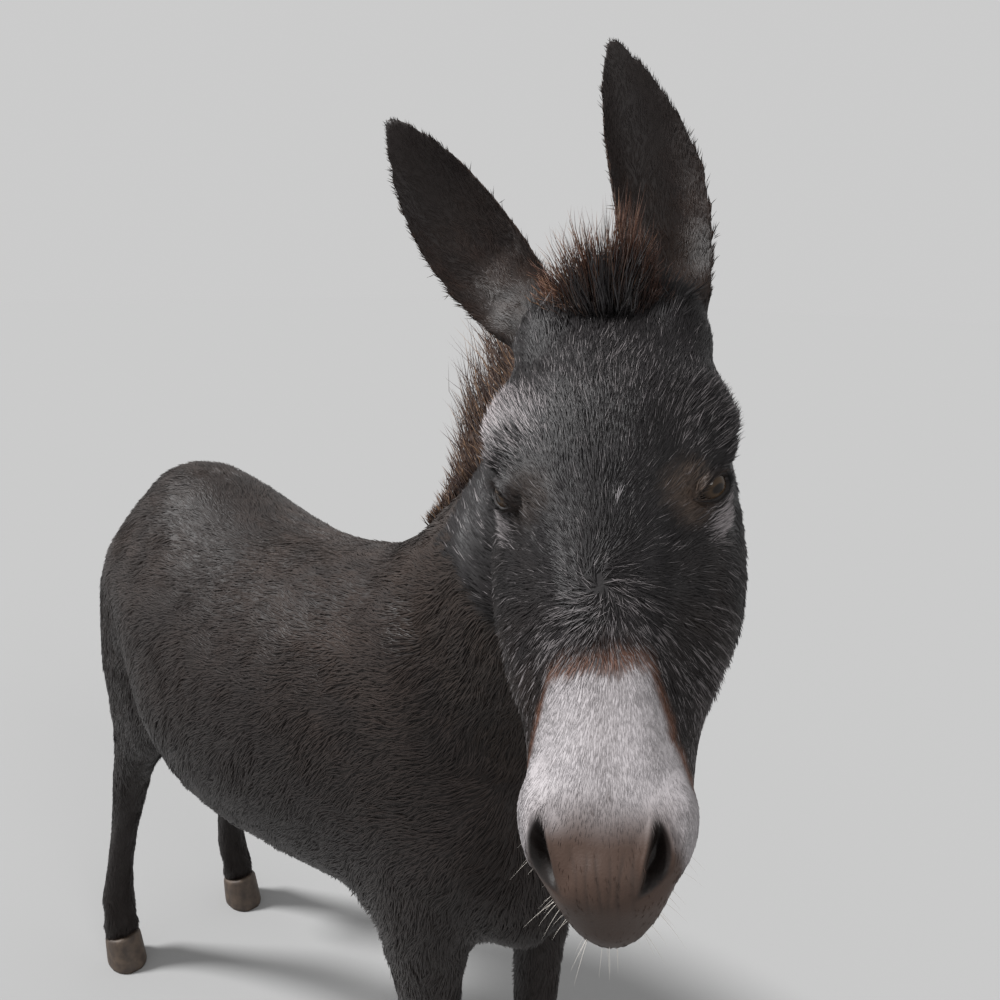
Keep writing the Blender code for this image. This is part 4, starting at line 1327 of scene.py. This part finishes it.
# %% [markdown]
# ## Forelock
# The forelock is the front of the mane, between the ears. It is softer than the mane and fans out, and it is
# darker towards the forehead. Its tips are rustier and golden on the right side, partly rusty hair and partly
# painted rim light.

# %% Forelock
forelock_tree = solid_tree("forelock")
root, normal = skin_samples(within(forelock_tree, 0.024), int(5200 * LOCK_SHARE))
away = np.array([forelock_tree.find_nearest(p)[3] for p in root.tolist()])
local = to_head(root)
fan = np.column_stack([local[:, 0] * 20 - 0.05, np.full(len(root), -0.78), np.full(len(root), 0.58)])
heading = unit(unit(fan) @ HEAD.T + rng.normal(0, 0.15, (len(root), 3)))
length = reach_in(forelock_tree, root, heading, 0.14)
keep = (length > 0.006) | (rng.random(len(root)) < np.exp(-((away / 0.010) ** 2)))
keep &= np.abs(local[:, 0]) < 0.052
root, heading, local = root[keep], heading[keep], local[keep]
length = np.maximum(length[keep], rng.uniform(0.012, 0.028, keep.sum()))
# Rustier, golden tips on the right side: partly rusty hair, partly painted rim light where the light falls.
rusty = step(0.030, -0.010, local[:, 0] + rng.normal(0, 0.008, len(root)))
tips = mix(np.tile(HAIR_CORE * 1.6, (len(root), 1)), HAIR_TIP * 1.2, 0.35 + 0.65 * rusty)
tips = mix(tips, HAIR_GOLD_RIM_LIGHT, 0.6 * rusty * rng.random(len(root)) ** 2)
front = step(0.014, 0.034, local[:, 1] + rng.normal(0, 0.005, len(root)))
tips = mix(tips, FACE_DARK * 1.3, front)
width = rng.uniform(0.0007, 0.0013, len(root))
core = mix(np.tile(HAIR_CORE * 0.8, (len(root), 1)), FACE_DARK * 0.9, front)
grown = length * rng.uniform(0.72, 1.20, len(root))
forelock = locks("forelock_hair", root, heading, grown, width, (core, tips), 5, 0.42, 41)
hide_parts("forelock")
print("forelock", len(root), "locks")

# %% [markdown]
# ## Tail
# A donkey's tail ends in a switch of long hair. Its strands hang side by side and wander round each other,
# so they are drawn as lines inside the solid tail, whose middle and width are averaged at even heights.

# %% Tail
samples = surface_samples("tail", 6000)
levels = np.linspace(dock_low.z + 0.01, dock_high.z - 0.05, 24)
centre = smooth_line(samples, UP, levels, 0.018)
off_centre = np.abs(samples[:, 0] - np.interp(samples[:, 2], levels, centre[:, 0]))
spread_x = 1.5 * np.array([off_centre[np.abs(samples[:, 2] - z) < 0.02].mean() for z in levels])
n = int(1400 * LOCK_SHARE)
start = rng.uniform(0.46, 0.99, n)
start[: n // 2] = rng.uniform(0.86, 1.0, n // 2)
end = np.clip(start - rng.uniform(0.35, 0.75, n), 0.0, 1)
t = np.linspace(0, 1, 9)
share = start[:, None] + (end - start)[:, None] * t[None]
height = dock_low.z + 0.004 + share * (dock_high.z - 0.035 - dock_low.z)
around = rng.uniform(0, 2 * math.pi, n)[:, None] + rng.normal(0, 0.35, n)[:, None] * t[None]
ring = np.sqrt(rng.uniform(0.05, 0.95, n))[:, None] * np.interp(height, levels, spread_x) * 0.95
path = np.stack([np.interp(height, levels, centre[:, k]) for k in range(3)], 2)
path[..., 0] += ring * np.cos(around)
path[..., 1] += ring * np.sin(around) * 0.80
path[..., 2] = height
half = 0.5 * rng.uniform(0.0019, 0.0034, n)[:, None] * np.clip(1.15 - t**2, 0, 1)
half[:, [0, -1]] = 0
heading = unit(path[:, 5] - path[:, 4])
across = unit(np.cross(heading, rng.normal(size=(n, 3))))
core = np.tile(HAIR_CORE * 0.8, (n, 1))
tips = mix(np.tile(BLACK_BROWN * 1.2, (n, 1)), HAIR_TIP, 0.7 * rng.random(n))
outward = unit(np.cross(across, heading))
tail = slivers("tail_hair", path, across, outward, half, (core, tips), map_place(path[:, 0]))
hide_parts("tail")
print("tail", n, "strands")

# %% [markdown]
# ## Eyes
# A donkey's eye is large, dark and wet, with an amber-brown iris and a pupil that lies level.
# The ball is a sphere with a slight bulge for the cornea. A painted picture could colour it, but an attribute
# that says in millimetres how far a point lies from the middle of the gaze needs no unwrap,
# and the shader can draw the iris and the pupil at their real sizes.

# %% Eyeballs
eyes = {}
for side, centre in EYES.items():
    gaze, across, upward = eye_axes(side)
    ball_points, ball_faces = ball(np.zeros(3), (1.0, 1.0, 1.0), 32)
    bulge = 1 + 0.045 * step(0.70, 1.0, ball_points[:, 2])
    shaped = ball_points * (EYE_RADIUS * bulge)[:, None]
    placed = centre + shaped @ np.array([across, upward, gaze])
    made = mesh_from("eyeball_" + side, from_head(placed), ball_faces)
    mesh = bmesh.new()
    mesh.from_mesh(made.data)
    bmesh.ops.recalc_face_normals(mesh, faces=mesh.faces)
    mesh.to_mesh(made.data)
    mesh.free()
    gaze_place = made.data.attributes.new("gaze_place", "FLOAT_VECTOR", "POINT")
    gaze_place.data.foreach_set("vector", (shaped * 1000).astype(np.float32).ravel())
    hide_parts("eye_" + side)
    eyes[side] = made
print("eyes of", EYE_RADIUS * 2000, "mm")

# %% [markdown]
# ## Hooves
# A hoof is a box of dry horn with faint growth rings round it. The solid hooves are wrapped in finer faces
# and rounded a little, and their soles stay on the floor. A Bevel modifier would round the edges too,
# but it leaves the flat facets between them.

# %% Hooves
RING_HEIGHT, RING_DEPTH = 0.0062, 0.00012
hooves = []
for name in ("hoof_front_left", "hoof_front_right", "hoof_hind_left", "hoof_hind_right"):
    mesh = frame["nodes"][name].data
    made = mesh_from(name + "_horn", points_of(mesh), triangles_of(mesh))
    wrap(made, 0.0022)
    horn, horn_edges = points_of(made.data), edges_of(made.data)
    for k in range(10):
        horn = relaxed(horn, horn_edges, 0.5)
    horn[:, 2] = np.where(horn[:, 2] < 0.0028, 0.0, horn[:, 2])
    rings = RING_DEPTH * np.sin(horn[:, 2] / RING_HEIGHT * 2 * math.pi) * step(0.003, 0.010, horn[:, 2])
    horn[:, :2] += unit(horn[:, :2] - horn.mean(0)[:2]) * rings[:, None]
    move_points(made, horn)
    made.data.shade_smooth()
    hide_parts(name)
    hooves.append(made)
print("hooves", [len(hoof.data.polygons) for hoof in hooves])

# %% [markdown]
# ## Finishes
# Hair is horny keratin under tiny scales. Each hair has a soft gleam, and a coat as a whole is nearly matt.
# The hair takes its colour from the painted attribute. One small function adds a node with its settings,
# its values and its links, so a material reads as a list of what it is made of.


# %% Hair finish
def material(name, roughness, specular=0.5, colour=None):
    made = bpy.data.materials.new(name)
    made.use_nodes = True
    shader = made.node_tree.nodes["Principled BSDF"]
    shader.inputs["Roughness"].default_value = roughness
    shader.inputs["Specular IOR Level"].default_value = specular
    if colour is not None:
        shader.inputs["Base Color"].default_value = (*srgb(colour), 1)
    return made, made.node_tree, shader


def node(tree, kind, inputs=None, stops=(), **settings):
    """A new node. An input is given a value or an output to link from; stops are those of a colour ramp."""
    made = tree.nodes.new(kind)
    for name, value in settings.items():
        setattr(made, name, value)
    for name, value in (inputs or {}).items():
        if isinstance(value, bpy.types.NodeSocket):
            tree.links.new(value, made.inputs[name])
        else:
            made.inputs[name].default_value = value
    for k, (place, colour) in enumerate(stops):
        if k > 1:
            made.color_ramp.elements.new(place)
        made.color_ramp.elements[k].position = place
        made.color_ramp.elements[k].color = (*srgb(colour), 1)
    return made


hair_material, tree, shader = material("donkey coat hair", 0.45, 0.22)
shader.inputs["Sheen Weight"].default_value = 0.03
shader.inputs["Sheen Roughness"].default_value = 0.5
coat_colour = node(tree, "ShaderNodeAttribute", attribute_name="coat").outputs["Color"]
tree.links.new(coat_colour, shader.inputs["Base Color"])
for made in [*coat, mane, forelock, tail]:
    made.data.materials.append(hair_material)
print("hair on", len(coat) + 3, "pieces")

# %% [markdown]
# ## Hide
# Bare hide is soft and slightly greasy, with pores about two millimetres apart. It shows on the nose,
# the lids and the lips, and as a dark ground between the tufts. Noise at the size of the pores gives it
# a fine bump, which is cheaper than real pits and too small to be missed as a shape.

# %% Hide finish
PORE = 0.0018
skin_material, tree, shader = material("donkey hide", 0.55, 0.28)
coat_colour = node(tree, "ShaderNodeAttribute", attribute_name="coat").outputs["Color"]
place = node(tree, "ShaderNodeTexCoord").outputs["Object"]
grain = node(tree, "ShaderNodeTexNoise", {"Vector": place, "Scale": 1 / PORE, "Detail": 3.0}).outputs["Fac"]
bump = node(tree, "ShaderNodeBump", {"Height": grain, "Strength": 0.35, "Distance": 0.0006}).outputs["Normal"]
tree.links.new(coat_colour, shader.inputs["Base Color"])
tree.links.new(bump, shader.inputs["Normal"])
paint(skin, mix(root_colour, tip_colour, np.full(len(points), 0.45)))
skin.data.materials.append(skin_material)
print("pores", PORE * 1000, "mm apart")

# %% [markdown]
# ## Wet eye
# A film of tears makes the eye the only mirror on the animal, so its roughness is very low.
# Two ellipses measured from the middle of the gaze give the iris, with its dark edge, and the level pupil.

# %% Eye finish
IRIS_SCALE, PUPIL_LONG, PUPIL_TALL = 20.0, 7.4, 4.0
IRIS_STOPS = [(0.0, "#3f3122"), (0.38, "#3b2d1f"), (0.56, "#261b12"), (0.62, "#0f0a08"), (0.74, "#1d1512")]
PUPIL_STOPS = [(0.70, "#000000"), (1.0, "#ffffff")]
eye_material, tree, shader = material("wet brown eye", 0.06, 0.25)
spot = node(tree, "ShaderNodeAttribute", attribute_name="gaze_place").outputs["Vector"]
away = []
for long, tall in ((IRIS_SCALE, IRIS_SCALE), (PUPIL_LONG, PUPIL_TALL)):
    shares = node(tree, "ShaderNodeVectorMath", {0: spot, 1: (1 / long, 1 / tall, 0)}, operation="MULTIPLY")
    away.append(node(tree, "ShaderNodeVectorMath", {0: shares.outputs[0]}, operation="LENGTH"))
iris = node(tree, "ShaderNodeValToRGB", {"Fac": away[0].outputs["Value"]}, IRIS_STOPS).outputs["Color"]
pupil_edge = node(tree, "ShaderNodeValToRGB", {"Fac": away[1].outputs["Value"]}, PUPIL_STOPS)
joined = node(tree, "ShaderNodeMix", {0: pupil_edge.outputs["Color"], 7: iris}, data_type="RGBA")
joined.inputs[6].default_value = (*srgb("#140e0a"), 1)
tree.links.new(joined.outputs[2], shader.inputs["Base Color"])
for made in eyes.values():
    made.data.materials.append(eye_material)
print("pupil", PUPIL_LONG * 2, "by", PUPIL_TALL * 2, "mm")

# %% [markdown]
# ## Dry horn
# Horn wears to a dull, slightly mottled brown, in patches about as wide as a finger.

# %% Horn finish
MOTTLE = 0.016
horn_material, tree, shader = material("hoof horn", 0.62)
place = node(tree, "ShaderNodeTexCoord").outputs["Object"]
wear = node(tree, "ShaderNodeTexNoise", {"Vector": place, "Scale": 1 / MOTTLE, "Detail": 4.0}).outputs["Fac"]
brown = node(tree, "ShaderNodeValToRGB", {"Fac": wear}, [(0.35, "#382e27"), (0.65, "#4e4136")])
tree.links.new(brown.outputs["Color"], shader.inputs["Base Color"])
for made in hooves:
    made.data.materials.append(horn_material)
print("mottled in patches of", MOTTLE * 1000, "mm")

# %% [markdown]
# ## Whiskers and eyelashes
# Stiff single hairs stand out from the chin, the lips and the upper lids. Each one starts as a point
# that carries its direction and its length. One node group sets a thin cone on every point, turns it,
# stretches it, and lets it sag towards the tip. Realize Instances and Set Material then leave a plain mesh.


# %% A node group for bristles
def bristle_group():
    """A node group that turns points with a direction and a length into sagging bristles."""
    group = bpy.data.node_groups.new("bristles", "GeometryNodeTree")
    sockets = {"Thickness": "NodeSocketFloat", "Droop": "NodeSocketFloat", "Finish": "NodeSocketMaterial"}
    for label, kind in {"Geometry": "NodeSocketGeometry", **sockets}.items():
        group.interface.new_socket(label, in_out="INPUT", socket_type=kind)
    group.interface.new_socket("Geometry", in_out="OUTPUT", socket_type="NodeSocketGeometry")
    given = node(group, "NodeGroupInput").outputs
    thick = given["Thickness"]
    sizes = {"Vertices": 5, "Side Segments": 6, "Radius Top": 0.12, "Radius Bottom": 1, "Depth": 1}
    cone = node(group, "GeometryNodeMeshCone", sizes, fill_type="NONE").outputs["Mesh"]
    place = node(group, "GeometryNodeInputPosition").outputs[0]
    up_cone = node(group, "ShaderNodeSeparateXYZ", {0: place}).outputs["Z"]
    rise = {"Geometry": cone, "Name": "rise", "Value": up_cone}
    marked = node(group, "GeometryNodeStoreNamedAttribute", rise, data_type="FLOAT", domain="POINT")
    named = {}
    for label, kind in {"heading": "FLOAT_VECTOR", "reach": "FLOAT", "rise": "FLOAT"}.items():
        found = node(group, "GeometryNodeInputNamedAttribute", {"Name": label}, data_type=kind)
        named[label] = found.outputs["Attribute"]
    turn = node(group, "FunctionNodeAlignRotationToVector", {"Vector": named["heading"]}, axis="Z").outputs[0]
    size = node(group, "ShaderNodeCombineXYZ", {"X": thick, "Y": thick, "Z": named["reach"]}).outputs[0]
    bristle = {"Points": given["Geometry"], "Instance": marked.outputs[0], "Rotation": turn, "Scale": size}
    put = node(group, "GeometryNodeInstanceOnPoints", bristle).outputs[0]
    real = node(group, "GeometryNodeRealizeInstances", {0: put}).outputs[0]
    sag = node(group, "ShaderNodeMath", {0: named["rise"], 1: 2.0}, operation="POWER").outputs[0]
    for factor in (named["reach"], given["Droop"], -1.0):
        sag = node(group, "ShaderNodeMath", {0: sag, 1: factor}, operation="MULTIPLY").outputs[0]
    down = node(group, "ShaderNodeCombineXYZ", {"Z": sag}).outputs[0]
    bent = node(group, "GeometryNodeSetPosition", {"Geometry": real, "Offset": down}).outputs[0]
    finished = node(group, "GeometryNodeSetMaterial", {"Geometry": bent, "Material": given["Finish"]})
    node(group, "NodeGroupOutput", {0: finished.outputs[0]})
    return group


BRISTLES = bristle_group()
print("bristle group of", len(BRISTLES.nodes), "nodes")


# %% Whiskers
def bristles(name, root, heading, reach, thickness, droop, finish):
    made = mesh_from(name, root, np.zeros((0, 3), np.int32))
    given = (("heading", "FLOAT_VECTOR", "vector", heading), ("reach", "FLOAT", "value", reach))
    for label, kind, field, values in given:
        layer = made.data.attributes.new(label, kind, "POINT")
        layer.data.foreach_set(field, values.astype(np.float32).ravel())
    grow = made.modifiers.new("Grow", "NODES")
    grow.node_group = BRISTLES
    wanted = {"Thickness": thickness, "Droop": droop, "Finish": finish}
    for item in BRISTLES.interface.items_tree:
        if item.in_out == "INPUT" and item.name in wanted:
            grow[item.identifier] = wanted[item.name]
    settle(made)
    print(name, len(root), "bristles,", len(made.data.polygons), "faces")
    return made


def on_chin(middle):
    x, y, z = to_head(middle).T
    return (y > 0.415) & (z < -0.055) & (z > -0.135) & (np.abs(x) < 0.06)


pale_bristle = material("pale whisker", 0.35, colour="#cfc8c0")[0]
chance = np.random.default_rng(5)
root, normal = skin_samples(on_chin, 90)
forward = np.array([0, 0.6, -0.6]) @ HEAD.T
heading = unit(normal + 0.35 * forward + chance.normal(0, 0.12, root.shape))
reach = chance.uniform(0.010, 0.028, len(root))
whiskers = bristles("whiskers", root, heading, reach, 0.00017, 0.22, pale_bristle)

# %% [markdown]
# ## Eyelashes
# A donkey's upper lashes are long and nearly straight. They stand out from the lid and sag at their tips,
# and they start along the same curve that shaped the upper lid.

# %% Eyelashes
LASHES, LASH_REACH = 34, 0.0125
dark_bristle = material("dark eyelash", 0.35, colour="#2a2320")[0]
lashes = []
for side, centre in EYES.items():
    gaze, across, upward = eye_axes(side)
    u = np.linspace(-LASH_REACH, LASH_REACH, LASHES) + chance.normal(0, 0.0003, LASHES)
    w = lid_height(u, np.ones(LASHES)) + 0.0008
    toward = across * (u / EYE_RADIUS)[:, None] + upward * (w / EYE_RADIUS)[:, None]
    toward = toward + gaze * np.sqrt(np.maximum(1 - (toward**2).sum(1), 0))[:, None]
    root = from_head(centre + toward * (EYE_RADIUS + 0.0022))
    heading = 0.75 * toward + 0.55 * upward + 0.35 * gaze + chance.normal(0, 0.08, toward.shape)
    heading = unit(heading) @ HEAD.T
    reach = chance.uniform(0.009, 0.016, LASHES) * (1 - 0.3 * (u / LASH_REACH) ** 2)
    lashes.append(bristles("eyelashes_" + side, root, heading, reach, 0.00020, 0.35, dark_bristle))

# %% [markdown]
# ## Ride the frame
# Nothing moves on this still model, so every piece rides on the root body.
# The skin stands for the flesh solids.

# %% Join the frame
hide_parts(*FLESH)
for made in [skin, *coat, mane, forelock, tail, whiskers, *lashes, *eyes.values(), *hooves]:
    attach(made, "root")
print("triangles in all", sum(len(triangles_of(piece.data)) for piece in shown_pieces()))

# %% [markdown]
# ## Studio
# A pale floor and soft lights, with the main one high behind the animal's right side, so that light runs
# along the ears, the mane and the edge of the muzzle. Area lamps would light the near floor more than
# the far floor. Distant lamps light both alike, and then the floor meets an even sky without a line.

# %% Floor and light
SKY = 0.60
floor = mesh_from("floor", [(-30, -30, 0), (30, -30, 0), (30, 30, 0), (-30, 30, 0)], [(0, 1, 2, 3)])
floor.data.materials.append(material("studio floor", 0.9, 0.0, "#989898")[0])
floor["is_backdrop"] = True
world = bpy.data.worlds.new("studio")
bpy.context.scene.world = world
world.use_nodes = True
world.node_tree.nodes["Background"].inputs["Color"].default_value = (1, 1, 1, 1)
world.node_tree.nodes["Background"].inputs["Strength"].default_value = SKY


def soft_sun(name, towards, width, strength):
    """A distant soft lamp that shines from this direction, as wide as this in degrees."""
    lamp = bpy.data.lights.new(name, "SUN")
    lamp.angle = math.radians(width)
    lamp.energy = strength
    made = bpy.data.objects.new(name, lamp)
    bpy.context.scene.collection.objects.link(made)
    made.rotation_euler = (-Vector(towards)).to_track_quat("-Z", "Y").to_euler()


soft_sun("key", (-0.42, 0.50, 0.76), 10, 5.0)
soft_sun("fill", (-0.15, -0.85, 0.50), 20, 0.6)

# %% [markdown]
# ## Camera
# The camera stands close in front of the head, a little above the eyes, and looks down along the back.
# Its direction is worked out from a turn and a tilt, and a small roll follows.

# %% Camera
EYE_LEVEL = (-0.6922, -1.0015, 1.4261)
TURN, TILT_DOWN, ROLL = math.radians(45.6), math.radians(14.47), math.radians(1.24)
level = Vector((math.sin(TURN), math.cos(TURN), 0)) * math.cos(TILT_DOWN)
ahead = level - Vector((0, 0, math.sin(TILT_DOWN)))
camera_data = bpy.data.cameras.new("camera")
camera_data.lens = 32.84
camera_data.sensor_width = 36
camera_data.clip_start = 0.02
camera = bpy.data.objects.new("camera", camera_data)
bpy.context.scene.collection.objects.link(camera)
look = ahead.to_track_quat("-Z", "Y").to_matrix() @ Matrix.Rotation(ROLL, 3, "Z")
camera.rotation_euler = look.to_euler()
camera.location = EYE_LEVEL
bpy.context.scene.camera = camera
bpy.context.scene.view_settings.view_transform = "Standard"

print("camera looks along", [round(value, 3) for value in ahead])
